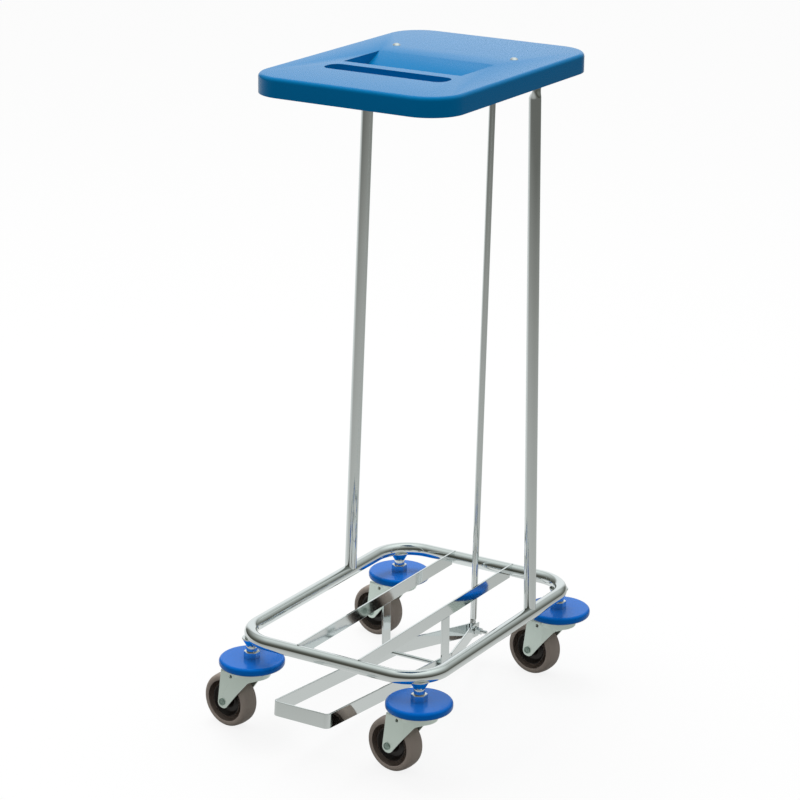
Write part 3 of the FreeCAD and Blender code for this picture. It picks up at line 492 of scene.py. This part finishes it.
class MakeBase(bpy.types.Operator):
    """Bend the base loop and the sack ring from round stock"""
    bl_idname = "sack_holder.make_base"
    bl_label = "Base loop and sack ring"

    def execute(self, context):
        sizes = context.scene.frame_sizes
        loops = (
            ("base_loop", "base_frame", sizes.tube, sizes.corner),
            ("ring_loop", "sack_ring", sizes.ring_bar, sizes.ring_corner),
        )
        for name, node, thick, corner in loops:
            low, high = (Vector(c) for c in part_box(node))
            z = (low.z + high.z) / 2
            half = thick / 2
            x0, y0, x1, y1 = low.x + half, low.y + half, high.x - half, high.y - half
            bm = bmesh.new()
            start = Vector((0, y0, z))
            section = hoop(bm, half, start, Vector((1, 0, 0)), 40)
            follow(bm, section, [
                (start, 0), (Vector((x1, y0, z)), corner), (Vector((x1, y1, z)), corner),
                (Vector((x0, y1, z)), corner), (Vector((x0, y0, z)), corner), (start, 0),
            ], closed=True)
            piece(bm, name, "frame", "Chrome plate", [node])
        return {"FINISHED"}


class MakeUprights(bpy.types.Operator):
    """Draw the two uprights up from the base loop and crimp their tops flat"""
    bl_idname = "sack_holder.make_uprights"
    bl_label = "Uprights"

    def execute(self, context):
        sizes = context.scene.frame_sizes
        for word, side in SIDES:
            half = sizes.upright / 2
            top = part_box(f"upright_{word}")[1][2]
            foot = Vector((side * sizes.foot_out, sizes.foot_back, sizes.height + sizes.tube * 0.25))
            head = Vector((side * sizes.head_out, sizes.head_back, sizes.head_high))
            flat = sizes.thin / sizes.upright
            broad = sizes.tongue / sizes.upright
            bm = bmesh.new()
            edges = hoop(bm, half, foot, Vector((0, 0, 1)), 40)
            steps = [(head, 1.0, 1.0)]
            for i in range(1, 9):
                pressed = ease(i / 8)
                centre = Vector((head.x + side * sizes.set * pressed, head.y, head.z + sizes.crimp * i / 8))
                steps.append((centre, 1 - pressed * (1 - flat), 1 - pressed * (1 - broad)))
            steps.append((Vector((head.x + side * sizes.set, head.y, top)), flat, broad))
            draw(bm, edges, foot, 1.0, 1.0, steps)
            piece(bm, f"upright_tube_{word}", "frame", "Chrome plate", [f"upright_{word}"])
        return {"FINISHED"}


class MakeBars(bpy.types.Operator):
    """Lay the two flat bars across the base and hang the pedal brackets from them"""
    bl_idname = "sack_holder.make_bars"
    bl_label = "Flat bars and brackets"

    def execute(self, context):
        sizes = context.scene.frame_sizes
        for word, side in SIDES:
            low, high = (Vector(c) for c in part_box(f"support_bar_{word}"))
            bm = bmesh.new()
            lift = sizes.tube / 2
            plate(bm, [
                (low.y, high.z), (low.y, sizes.height + lift), (low.y + lift, sizes.height, sizes.seat),
                (low.y + lift, low.z), (high.y - lift, low.z), (high.y - lift, sizes.height, sizes.seat),
                (high.y, sizes.height + lift), (high.y, high.z),
            ], sizes.bar, across_x(low.x))
            piece(bm, f"flat_bar_{word}", "frame", "Chromed flat bar", [f"support_bar_{word}"],
                  rounding=sizes.edge)
            low, high = (Vector(c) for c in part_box(f"pedal_bracket_{word}"))
            bm = bmesh.new()
            plate(bm, [(low.y, high.z), (low.y, low.z, sizes.hanger), (high.y, low.z, sizes.hanger),
                       (high.y, high.z)], sizes.bar, across_x(low.x))
            piece(bm, f"bracket_{word}", "frame", "Chromed flat bar", [f"pedal_bracket_{word}"],
                  rounding=sizes.edge)
        return {"FINISHED"}


class MakePedal(bpy.types.Operator):
    """Bend the pedal from flat bar and fit its axle and the rod's bolt"""
    bl_idname = "sack_holder.make_pedal"
    bl_label = "Pedal"

    def execute(self, context):
        sizes = context.scene.pedal_sizes
        bar = context.scene.frame_sizes.bar
        axle = Vector(JOINTS["pedal_hinge"]["pos_m"])
        bolt = Vector(JOINTS["rod_pivot"]["pos_m"])
        slope = math.atan2(axle.z - bolt.z, bolt.y - axle.y)
        arm = sizes.width / 2
        tip = (sizes.gap + bar) / 2
        bm = bmesh.new()
        start = Vector((tip, sizes.tail + sizes.past, 0))
        bmesh.ops.create_grid(bm, x_segments=1, y_segments=1, size=0.5)
        bmesh.ops.scale(bm, vec=(bar, sizes.tall, 1), verts=bm.verts)
        bevel(bm, bm.verts[:], sizes.worn, 3, "VERTICES")
        bmesh.ops.delete(bm, geom=bm.faces[:], context="FACES_KEEP_BOUNDARY")
        bmesh.ops.transform(bm, matrix=Matrix.Translation(start) @ Matrix.Rotation(math.pi / 2, 4, "X"),
                            verts=bm.verts)
        front = -sizes.reach + bar / 2
        last = sizes.tail - sizes.past
        follow(bm, bm.edges[:], [
            (start, 0), (Vector((tip, last, 0)), sizes.bend), (Vector((arm, sizes.waist, 0)), sizes.bend),
            (Vector((arm, front, 0)), sizes.front_bend), (Vector((-arm, front, 0)), sizes.front_bend),
            (Vector((-arm, sizes.waist, 0)), sizes.bend), (Vector((-tip, last, 0)), sizes.bend),
            (Vector((-tip, sizes.tail + sizes.past, 0)), 0),
        ])
        bmesh.ops.transform(bm, matrix=Matrix.Translation(axle) @ Matrix.Rotation(-slope, 4, "X"),
                            verts=bm.verts)
        piece(bm, "pedal_strap", "pedal", "Chromed flat bar", ["pedal_bar"])

        bm = bmesh.new()
        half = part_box("pedal_axle")[1][0]
        worn = sizes.worn
        r = sizes.axle / 2 - worn
        lathe(bm, [(0, -half), *arc(r, worn - half, worn, 270, 360, 3), *arc(r, half - worn, worn, 0, 90, 3),
                   (0, half)], along((1, 0, 0), axle))
        piece(bm, "axle_rod", "frame", "Chrome plate", ["pedal_axle"])

        bm = bmesh.new()
        r = sizes.bolt / 2
        low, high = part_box("rod_bolt")
        x0, x1 = low[0], high[0]
        x2 = x0 + sizes.head
        bolt_head(bm, sizes.hexagon, sizes.head, along((-1, 0, 0), (x2, bolt.y, bolt.z)))
        ridges = []  # of the thread, from its end back
        for i in range(14):
            at = x1 - 0.0008 - i * sizes.pitch
            ridges += [(r - 0.0001, at), (r - 0.0005, at - sizes.pitch / 2)]
        lathe(bm, [(0, x2), (r, x2), *reversed(ridges), (r - 0.0008, x1), (0, x1)],
              along((1, 0, 0), (0, bolt.y, bolt.z)), 32)
        piece(bm, "bolt_of_rod", "pedal", "Chrome plate", ["rod_bolt"])
        bm = bmesh.new()
        low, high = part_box("rod_bolt_nut")
        bolt_head(bm, sizes.hexagon, high[0] - low[0], along((1, 0, 0), (low[0], bolt.y, bolt.z)))
        piece(bm, "nut_of_rod", "pedal", "Chrome plate", ["rod_bolt_nut"])
        return {"FINISHED"}


class MakeRod(bpy.types.Operator):
    """Draw the push rod from its flattened foot to its flattened top"""
    bl_idname = "sack_holder.make_rod"
    bl_label = "Push rod"

    def execute(self, context):
        sizes = context.scene.pedal_sizes
        half = sizes.rod / 2
        flat = sizes.flat / sizes.rod
        wide = sizes.tongue / sizes.rod
        bolt = Vector(JOINTS["rod_pivot"]["pos_m"])
        pin = middle("rod_pin")
        low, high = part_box("push_rod")
        foot = Vector((0, bolt.y, low[2]))
        top = Vector((0, pin.y, high[2]))
        bm = bmesh.new()
        edges = hoop(bm, half, foot, Vector((0, 0, 1)), 32)
        verts = list({v for e in edges for v in e.verts})
        bmesh.ops.scale(bm, vec=(flat, wide, 1), verts=verts, space=Matrix.Translation(-foot))
        knee = bolt.z + sizes.foot
        neck = pin.z - sizes.neck
        steps = [(Vector((0, bolt.y, knee)), 0.0)]
        for i in range(1, 7):
            part = ease(i / 6)
            steps.append((Vector((0, bolt.y + 0.001 * part, knee + sizes.foot_turn * i / 6)), part))
        steps.append((Vector((0, sizes.elbow_back, pin.z - sizes.elbow)), 1.0))
        steps.append((Vector((0, pin.y, neck)), 1.0))
        steps += [(Vector((0, pin.y, neck + sizes.neck_turn * i / 6)), 1 - ease(i / 6)) for i in range(1, 7)]
        steps.append((top, 0.0))
        draw(bm, edges, foot, flat, wide,
             [(place, flat + (1 - flat) * part, wide + (1 - wide) * part) for place, part in steps])
        piece(bm, "rod_bar", "rod", "Chrome plate", ["push_rod"])
        return {"FINISHED"}


class MakeLid(bpy.types.Operator):
    """Mould the lid with its finger recess and grip bar, and fit its two screws"""
    bl_idname = "sack_holder.make_lid"
    bl_label = "Lid"

    def execute(self, context):
        sizes = context.scene.lid_sizes
        low, high = (Vector(c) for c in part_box("lid"))
        wall, depth, top = sizes.wall, sizes.depth, high.z
        r = sizes.corner

        def rounded(x0, x1, y0, y1, radius, z, tall, steps=16):
            bm = bmesh.new()
            plate(bm, [(x0, y0, radius), (x1, y0, radius), (x1, y1, radius), (x0, y1, radius)], tall,
                  Matrix.Translation((0, 0, z)), steps)
            return bm

        def profile(points, wide):
            bm = bmesh.new()
            plate(bm, points, wide, across_x(-wide / 2))
            return bm

        def screw(side):
            return Matrix.Translation((side * sizes.screw_out, sizes.screw_back, top))

        bm = rounded(low.x, high.x, low.y, high.y, r, low.z, top - low.z, 20)
        rim = [e for e in bm.edges if all(v.co.z > top - 1e-5 for v in e.verts) and len(e.link_faces) == 2
               and abs(e.link_faces[0].normal.z - e.link_faces[1].normal.z) > 0.5]
        bevel(bm, rim, sizes.edge, 8)
        lid = piece(bm, "lid_moulding", "lid", "Moulded blue ABS", ["lid"])
        carve(lid, rounded(low.x + wall, high.x - wall, low.y + wall, high.y - wall, r - wall, low.z - 0.01,
                           top - wall - low.z + 0.01))
        half = sizes.slot / 2
        rear, front, run = sizes.rear, -sizes.front, sizes.slope
        floor = top - depth
        under = wall * math.sqrt(1 + (depth / run) ** 2)
        bowl = profile([
            (front - wall, top - wall * 0.5), (front - wall, floor - wall, 0.006),
            (rear - run + (under - wall) * run / depth, floor - wall, 0.012),
            (rear + (under - wall) * run / depth, top - wall), (rear, top - wall * 0.5),
        ], 2 * (half + wall))
        carve(lid, bowl, "UNION")
        pocket = profile([
            (rear + 0.002 * run / depth, top + 0.002), (rear - run, floor, 0.015),
            (front + 0.015, floor, 0.004), (front + 0.015, top - sizes.grip, 0.004),
            (-sizes.bar_rear, top - sizes.grip), (-sizes.bar_rear, top + 0.002),
        ], sizes.recess)
        carve(lid, pocket)
        carve(lid, rounded(-half, half, front, -sizes.bar_front, 0.015, floor, depth + 0.005))
        for side in (-1, 1):
            bm = bmesh.new()
            drill(bm, 0.0026, 0.02, screw(side))
            carve(lid, bm)
        soften(lid, sizes.soft, 4, True)

        bm = bmesh.new()
        for side in (-1, 1):
            lathe(bm, [(0, -0.01), (0.0025, -0.01), (0.0025, 0.0), (0.006, 0.0),
                       *arc(0, -0.0045, 0.0075, 36.9, 90, 8)], screw(side), 48)
        piece(bm, "lid_screw_domes", "lid", "Chrome plate", ["lid_screws"])
        return {"FINISHED"}


class MakeCastors(bpy.types.Operator):
    """Build the four swivel castors with their bumper discs"""
    bl_idname = "sack_holder.make_castors"
    bl_label = "Castors"

    def execute(self, context):
        sizes = context.scene.castor_sizes
        for word in CASTORS:
            swivel = Vector(JOINTS[f"swivel_{word}"]["pos_m"])
            wheel = Vector(JOINTS[f"spin_{word}"]["pos_m"])
            axle = Vector(JOINTS[f"spin_{word}"]["axis"])
            on_axis = Matrix.Translation((swivel.x, swivel.y, 0))
            self.fixed(word, sizes, on_axis)
            self.fork(word, sizes, on_axis, wheel, axle)
            self.wheel(word, sizes, along(axle, wheel))
        self.nuts(sizes)
        return {"FINISHED"}

    def fixed(self, word, sizes, place):
        """Boss, stem, race and bumper disc, all turned about the swivel axis."""
        # The boss widens from a narrow foot to a cup that holds the base tube
        low, high = (v[2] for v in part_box(f"castor_boss_{word}"))
        foot, cup, soft = 0.0075, 0.0135, 0.001
        bm = bmesh.new()
        lathe(bm, [(0, low), (foot, low), *arc(foot, low + soft, soft, 270, 340, 3), (0.0144, low + 0.011),
                   *arc(cup, low + 0.012, soft, 0, 90, 3), (0, low + 0.013)], place)
        piece(bm, f"boss_{word}", "frame", "Chrome plate", [f"castor_boss_{word}"])
        # The kingpin has a head under the crown and a collar over the disc
        low, high = (v[2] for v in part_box(f"castor_stem_{word}"))
        head, pin, collar = 0.011, 0.006, 0.0083
        bm = bmesh.new()
        lathe(bm, [(0, low), (head, low), (head, low + 0.003), (pin, low + 0.003), (pin, 0.1275),
                   (collar, 0.1280), (collar, high), (0, high)], place)
        piece(bm, f"stem_{word}", "frame", "Chrome plate", [f"castor_stem_{word}"])
        low, high = (v[2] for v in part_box(f"castor_race_{word}"))
        bore = 0.0061
        bm = bmesh.new()
        lathe(bm, [(bore, low), *arc(0.021, low + 0.001, 0.001, 270, 360, 3), (0.0195, high), (bore, high),
                   (bore, low)], place)
        piece(bm, f"race_{word}", "frame", "Bright zinc plate", [f"castor_race_{word}"])
        low, high = (v[2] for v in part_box(f"bumper_disc_{word}"))
        soft = 0.0045
        r = sizes.disc / 2 - soft
        bm = bmesh.new()
        lathe(bm, [(bore, low), (r, low), *arc(r, low + soft, soft, 270, 360, 8),
                   *arc(r, high - soft, soft, 0, 90, 8), (bore, high), (bore, low)], place, 96)
        piece(bm, f"disc_{word}", "frame", "Blue bumper plastic", [f"bumper_disc_{word}"])

    def fork(self, word, sizes, place, wheel, axle):
        """Two cheeks under a crown with a raised cup, closing in past a crease, and a riveted axle."""
        turn = math.atan2(-axle.x, axle.y)
        place = place @ Matrix.Rotation(turn, 4, "Z")
        inner = sizes.inside / 2
        half = inner + sizes.sheet
        r = sizes.wheel / 2
        fold, crown, trail, sheet = sizes.fold, sizes.crown, sizes.trail, sizes.sheet
        crease = sizes.crease - trail
        cup = sizes.cup / 2
        closing = (inner - sizes.neck) / (cup - crease)
        back = -trail - 0.0022
        outline = [
            (back, fold - 0.001), (-trail - 0.0102, r - 0.01, 0.009), (-trail + 0.0055, r - 0.01, 0.0085),
            (-trail + 0.0465, fold - 0.0116, 0.014), (-trail + 0.06, fold - 0.0056, 0.005),
            (-trail + 0.0655, fold - 0.0025), (-trail + 0.0655, fold - 0.001),
        ]
        stand = Matrix(((1, 0, 0, 0), (0, 0, 1, 0), (0, 1, 0, 0), (0, 0, 0, 1)))
        bm = bmesh.new()
        for side in (-1, 1):
            before = set(bm.verts)
            plate(bm, outline, sheet, Matrix.Translation((0, min(side * inner, side * half), 0)) @ stand)
            cheek = [v for v in bm.verts if v not in before]
            cheek += list({e for v in cheek for e in v.link_edges} | {f for v in cheek for f in v.link_faces})
            bmesh.ops.bisect_plane(bm, geom=cheek, plane_co=(crease, 0, 0), plane_no=(1, 0, 0), dist=1e-7)
            for vert in set(bm.verts) - before:
                vert.co.y -= side * max(0.0, vert.co.x - crease) * closing
        bmesh.ops.transform(bm, matrix=place, verts=bm.verts)
        made = piece(bm, f"fork_{word}", f"fork_{word}", "Bright zinc plate", [f"castor_fork_{word}"])
        bm = bmesh.new()
        across = place @ Matrix.Translation((-trail + 0.0172, 0, fold - 0.0072))
        drill(bm, sizes.hole / 2, 0.1, across @ Matrix.Rotation(math.pi / 2, 4, "X"), 24)
        carve(made, bm)
        soften(made, 0.0006)

        bm = bmesh.new()
        neck = sizes.neck + sheet
        end = sizes.neck_at
        plate(bm, [(back, -half, 0.001), (crease, -half), (end, -neck), (end, neck), (crease, half),
                   (back, half, 0.001)], sheet, place @ Matrix.Translation((0, 0, fold - sheet)))
        top = piece(bm, f"crown_{word}", f"fork_{word}", "Bright zinc plate")
        bm = bmesh.new()
        hole = cup - 0.0015
        lathe(bm, [(0, 0.05), (hole, 0.05), (hole, 0.12), (0, 0.12)], place)
        carve(top, bm)
        soften(top, 0.0009)
        bm = bmesh.new()
        # The cup is open below, where the kingpin's head sits
        low, high, under = fold - sheet - 0.0001, crown - 0.0002, crown - sheet
        bore, wall = sizes.bore / 2, cup - sheet
        lathe(bm, [(bore, under), (wall - 0.0005, under), (wall, under - 0.0005), (wall, low), (cup, low),
                   (cup, high - 0.002), *arc(cup - 0.002, high - 0.002, 0.002, 0, 90, 6), (bore, high),
                   (bore, under)], place)
        piece(bm, f"dome_{word}", f"fork_{word}", "Bright zinc plate")

        # The rivet's heads have a ring pressed in round a low middle
        bm = bmesh.new()
        pin, rim = 0.004, sizes.rivet / 2
        lathe(bm, [(0, -half), (pin, -half), (pin, half), (0, half)], along(axle, wheel), 24)
        for side in (-1, 1):
            lathe(bm, [(pin, 0), (rim, 0), (rim, 0.0012), *arc(rim - 0.001, 0.0012, 0.001, 0, 90, 4),
                       (0.0038, 0.0022), (0.0034, 0.0014), (0.0024, 0.0014), (0.002, 0.0018), (0, 0.0018)],
                  along(axle * side, wheel + axle * side * half), 40)
        piece(bm, f"axle_{word}", f"fork_{word}", "Dull zinc rivet", [f"castor_axle_{word}"])

    def wheel(self, word, sizes, place):
        """Crowned tyre on a dished hub, turned about the axle."""
        r, half, hub = sizes.wheel / 2, sizes.wide / 2, sizes.hub / 2
        soft, bead = sizes.shoulder, sizes.bead
        edge = half - soft
        flank = [(hub, bead - half), *arc(hub + 0.0094, -edge, soft, -116.6, -90, 3),
                 *arc(r - 0.0068, -edge, soft, -90, -8, 8)]
        # The tread falls off by 0.85 mm toward shoulders that start 9.5 mm from its middle
        crown = [(r - 0.00085 * abs(i / 6) ** 1.7, 0.0095 * i / 6) for i in range(-5, 6)]
        bm = bmesh.new()
        lathe(bm, [*flank, *crown, *((x, -z) for x, z in reversed(flank)), (hub, bead - half)], place, 96)
        piece(bm, f"tyre_{word}", f"wheel_{word}", "Grey tyre rubber", [f"castor_tyre_{word}"])
        bm = bmesh.new()
        web, boss, lip = 0.005, 0.016, half - bead
        bore = 0.0041
        dish = [(bore, -boss), (0.0102, -boss), (0.011, -boss + 0.0008), (0.012, -web - 0.001),
                (0.0135, -web), (hub - 0.0055, -web), (hub - 0.0035, -web - 0.0015),
                (hub - 0.0012, -lip + 0.0006), (hub, -lip)]
        lathe(bm, [*dish, *((x, -z) for x, z in reversed(dish)), (bore, -boss)], place, 64)
        piece(bm, f"hub_{word}", f"wheel_{word}", "Dark nylon", [f"castor_hub_{word}"])

    def nuts(self, sizes):
        """The four nuts on top of the base loop, which are one node."""
        low, high = (v[2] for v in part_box("castor_nuts"))
        bm = bmesh.new()
        for word in CASTORS:
            x, y, _ = JOINTS[f"swivel_{word}"]["pos_m"]
            bolt_head(bm, sizes.nut, high - low, Matrix.Translation((x, y, low)))
        piece(bm, "nuts_of_castors", "frame", "Chrome plate", ["castor_nuts"])


class DressHardware(bpy.types.Operator):
    """Give the nodes that stay as modelled their finishes"""
    bl_idname = "sack_holder.dress_hardware"
    bl_label = "Small hardware"

    def execute(self, context):
        dress = {
            "Chrome plate": ("axle_caps", "axle_spacers", "rod_bolt_washers", "rod_pin", "rod_pin_washers",
                             "lid_screw_nuts"),
            "Satin steel strip": ("hinge_strap_left", "hinge_strap_right", "lid_cross_bar", "lid_clevis"),
            "Black rubber": ("lid_buffers",),
        }
        for name, nodes in dress.items():
            for node in nodes:
                frame["nodes"][node].data.materials.clear()
                frame["nodes"][node].data.materials.append(material(name))
        return {"FINISHED"}


class MakeStage(bpy.types.Operator):
    """Set the pale floor, the soft lamps and the camera"""
    bl_idname = "sack_holder.make_stage"
    bl_label = "Floor, light and camera"

    def execute(self, context):
        scene = context.scene
        self.floor(scene)
        self.world(scene)
        self.lamps(scene)
        self.camera(scene)
        scene.view_settings.view_transform = "Standard"
        return {"FINISHED"}

    def floor(self, scene):
        """A pale table that keeps the holder's shadow. Polished metal sees it fade to dark far out."""
        bm = bmesh.new()
        bmesh.ops.create_grid(bm, x_segments=1, y_segments=1, size=30)
        mesh = bpy.data.meshes.new("floor")
        bm.to_mesh(mesh)
        bm.free()
        floor = bpy.data.objects.new("floor", mesh)
        scene.collection.objects.link(floor)
        matt, tree = blank("Studio floor")
        path = add(tree, "ShaderNodeLightPath")
        place = add(tree, "ShaderNodeTexCoord")
        paper = add(tree, "ShaderNodeBsdfDiffuse", {"Color": scene.finishes.floor})
        glow = add(tree, "ShaderNodeEmission", {"Color": (1, 1, 1, 1), "Strength": 1.0})
        shown = self.mix(tree, 0.86, paper, glow)
        table = add(tree, "ShaderNodeBsdfDiffuse", {"Color": linear("7C7E7E")})
        reach = add(tree, "ShaderNodeVectorMath", {"operation": "LENGTH"}, Vector=place.outputs["Object"])
        # The shades below are by distance, as parts of 5 m
        near = add(tree, "ShaderNodeMapRange", {"From Max": 5.0}, Value=reach.outputs["Value"])
        fade = self.ramp(tree, near, ((0.04, "BEC0BE"), (0.14, "A9ABA8"), (0.32, "9B9C99"), (0.57, "848581"),
                                      (0.95, "62635F")))
        seen = add(tree, "ShaderNodeEmission", {"Strength": 1.25},
                   Color=self.backdrop(tree, place.outputs["Object"], fade, True))
        polished = self.mix(tree, path.outputs["Is Glossy Ray"], table, seen)
        close(tree, self.mix(tree, path.outputs["Is Camera Ray"], polished, shown))
        mesh.materials.append(matt)

    def mix(self, tree, part, first, second):
        """One shader and another, by a fixed part or by a ray's kind."""
        made = add(tree, "ShaderNodeMixShader")
        if isinstance(part, float):
            made.inputs[0].default_value = part
        else:
            tree.links.new(part, made.inputs[0])
        tree.links.new(first.outputs[0], made.inputs[1])
        tree.links.new(second.outputs[0], made.inputs[2])
        return made

    def ramp(self, tree, value, stops):
        made = add(tree, "ShaderNodeValToRGB", Fac=value.outputs[0])
        stops_made = made.color_ramp.elements
        for i, (at, shade) in enumerate(stops):
            stop = stops_made[i] if i < 2 else stops_made.new(at)
            stop.position = at
            stop.color = linear(shade)
        return made

    def backdrop(self, tree, direction, shade, low=False):
        """Pale paper behind the holder, and low down also to its left, over what polished metal sees."""
        unit = add(tree, "ShaderNodeVectorMath", {"operation": "NORMALIZE"}, Vector=direction)
        walls = [(Vector((-0.51, 0.84, 0.17)), 0.84, 0.95, "DCE0E0")]
        if low:
            walls.append((Vector((-0.87, 0.49, 0.0)), 0.25, 1.05, "D0D3D2"))
        under = shade.outputs[0]
        for facing, start, full, paper in walls:
            towards = add(tree, "ShaderNodeVectorMath", {"operation": "DOT_PRODUCT", 1: facing},
                          **{"0": unit.outputs[0]})
            part = add(tree, "ShaderNodeMapRange", {"interpolation_type": "SMOOTHSTEP", "From Min": start,
                                                    "From Max": full}, Value=towards.outputs["Value"])
            made = add(tree, "ShaderNodeMix", {"data_type": "RGBA", 7: linear(paper)})
            tree.links.new(part.outputs[0], made.inputs[0])
            tree.links.new(under, made.inputs[6])
            under = made.outputs[2]
        return under

    def world(self, scene):
        world = bpy.data.worlds.new("Studio")
        scene.world = world
        world.use_nodes = True
        tree = world.node_tree
        tree.nodes.clear()
        path = add(tree, "ShaderNodeLightPath")
        place = add(tree, "ShaderNodeTexCoord")
        white = add(tree, "ShaderNodeBackground", {"Color": (1, 1, 1, 1), "Strength": 1.0})
        # What polished metal sees: a pale ceiling over a dark room, darkest low in front
        height = add(tree, "ShaderNodeVectorMath", {"operation": "DOT_PRODUCT", 1: Vector((0, 0.25, 1))},
                     **{"0": place.outputs["Generated"]})
        rise = add(tree, "ShaderNodeMapRange", {"From Min": -0.2, "From Max": 1.0},
                   Value=height.outputs["Value"])
        room = self.ramp(tree, rise, ((0.1, "43433C"), (0.34, "494A43"), (0.575, "757873"), (0.78, "A5AAA7"),
                                      (0.925, "CBD2CF"), (1.0, "E3EAE7")))
        seen = add(tree, "ShaderNodeBackground", {"Strength": 1.25},
                   Color=self.backdrop(tree, place.outputs["Generated"], room))
        # What lights the holder: a broad ceiling, with little from the sides
        ceiling = add(tree, "ShaderNodeSeparateXYZ", Vector=place.outputs["Generated"])
        soft = add(tree, "ShaderNodeMapRange", {"interpolation_type": "SMOOTHSTEP", "To Min": 0.12,
                                                "To Max": 1.05}, Value=ceiling.outputs["Z"])
        light = add(tree, "ShaderNodeBackground", {"Color": (1, 1, 1, 1)}, Strength=soft.outputs[0])
        polished = self.mix(tree, path.outputs["Is Glossy Ray"], light, seen)
        ends = self.mix(tree, path.outputs["Is Camera Ray"], polished, white)
        add(tree, "ShaderNodeOutputWorld", Surface=ends.outputs[0])

    def lamps(self, scene):
        """One soft lamp overhead, a little to the left and behind."""
        lamp = bpy.data.lights.new("ceiling_lamp", "AREA")
        lamp.energy = 62.0
        lamp.size = 2.0
        made = bpy.data.objects.new("ceiling_lamp", lamp)
        made.location = (-0.8, 0.5, 4.2)
        made.rotation_euler = (Vector((0, 0, 0.5)) - made.location).to_track_quat("-Z", "Y").to_euler()
        made.visible_glossy = False
        scene.collection.objects.link(made)

    def camera(self, scene):
        """The photo's view, from a pinhole camera fitted to the photographed edges."""
        azimuth, height, roll = (math.radians(a) for a in (31.157, 17.908, 0.618))
        level = math.cos(height)
        back = Vector((math.sin(azimuth) * level, -math.cos(azimuth) * level, math.sin(height)))
        right = Vector((math.cos(azimuth), math.sin(azimuth), 0))
        up = back.cross(right)
        turned = right * math.cos(roll) + up * math.sin(roll)
        upper = up * math.cos(roll) - right * math.sin(roll)
        lens = bpy.data.cameras.new("camera")
        lens.sensor_width = 36
        lens.lens = 124.569
        made = bpy.data.objects.new("camera", lens)
        made.matrix_world = Matrix((
            (turned.x, upper.x, back.x, 1.9817), (turned.y, upper.y, back.y, -3.3104),
            (turned.z, upper.z, back.z, 1.7313), (0, 0, 0, 1),
        ))
        scene.collection.objects.link(made)
        scene.camera = made


class SackHolderPanel(bpy.types.Panel):
    """The holder's sizes, finishes and building steps"""
    bl_idname = "VIEW3D_PT_sack_holder"
    bl_label = "Laundry sack holder"
    bl_space_type = "VIEW_3D"
    bl_region_type = "UI"
    bl_category = "Sack holder"

    def draw(self, context):
        for group in GROUPS:
            for key in GROUPS[group].__annotations__:
                self.layout.prop(getattr(context.scene, group), key)
        for step in STEPS:
            self.layout.operator(step.bl_idname)


GROUPS = {
    "frame_sizes": FrameSizes,
    "pedal_sizes": PedalSizes,
    "lid_sizes": LidSizes,
    "castor_sizes": CastorSizes,
    "finishes": Finishes,
}
STEPS = (MakeBase, MakeUprights, MakeBars, MakePedal, MakeRod, MakeLid, MakeCastors, DressHardware, MakeStage)


def register():
    for group, cls in GROUPS.items():
        bpy.utils.register_class(cls)
        setattr(bpy.types.Scene, group, PointerProperty(type=cls))
    for cls in STEPS + (SackHolderPanel,):
        bpy.utils.register_class(cls)


def unregister():
    for cls in STEPS + (SackHolderPanel,):
        bpy.utils.unregister_class(cls)
    for group, cls in GROUPS.items():
        delattr(bpy.types.Scene, group)
        bpy.utils.unregister_class(cls)


def main():
    register()
    for step in STEPS:
        area, name = step.bl_idname.split(".")
        getattr(getattr(bpy.ops, area), name)()


if __name__ == "__main__":
    main()
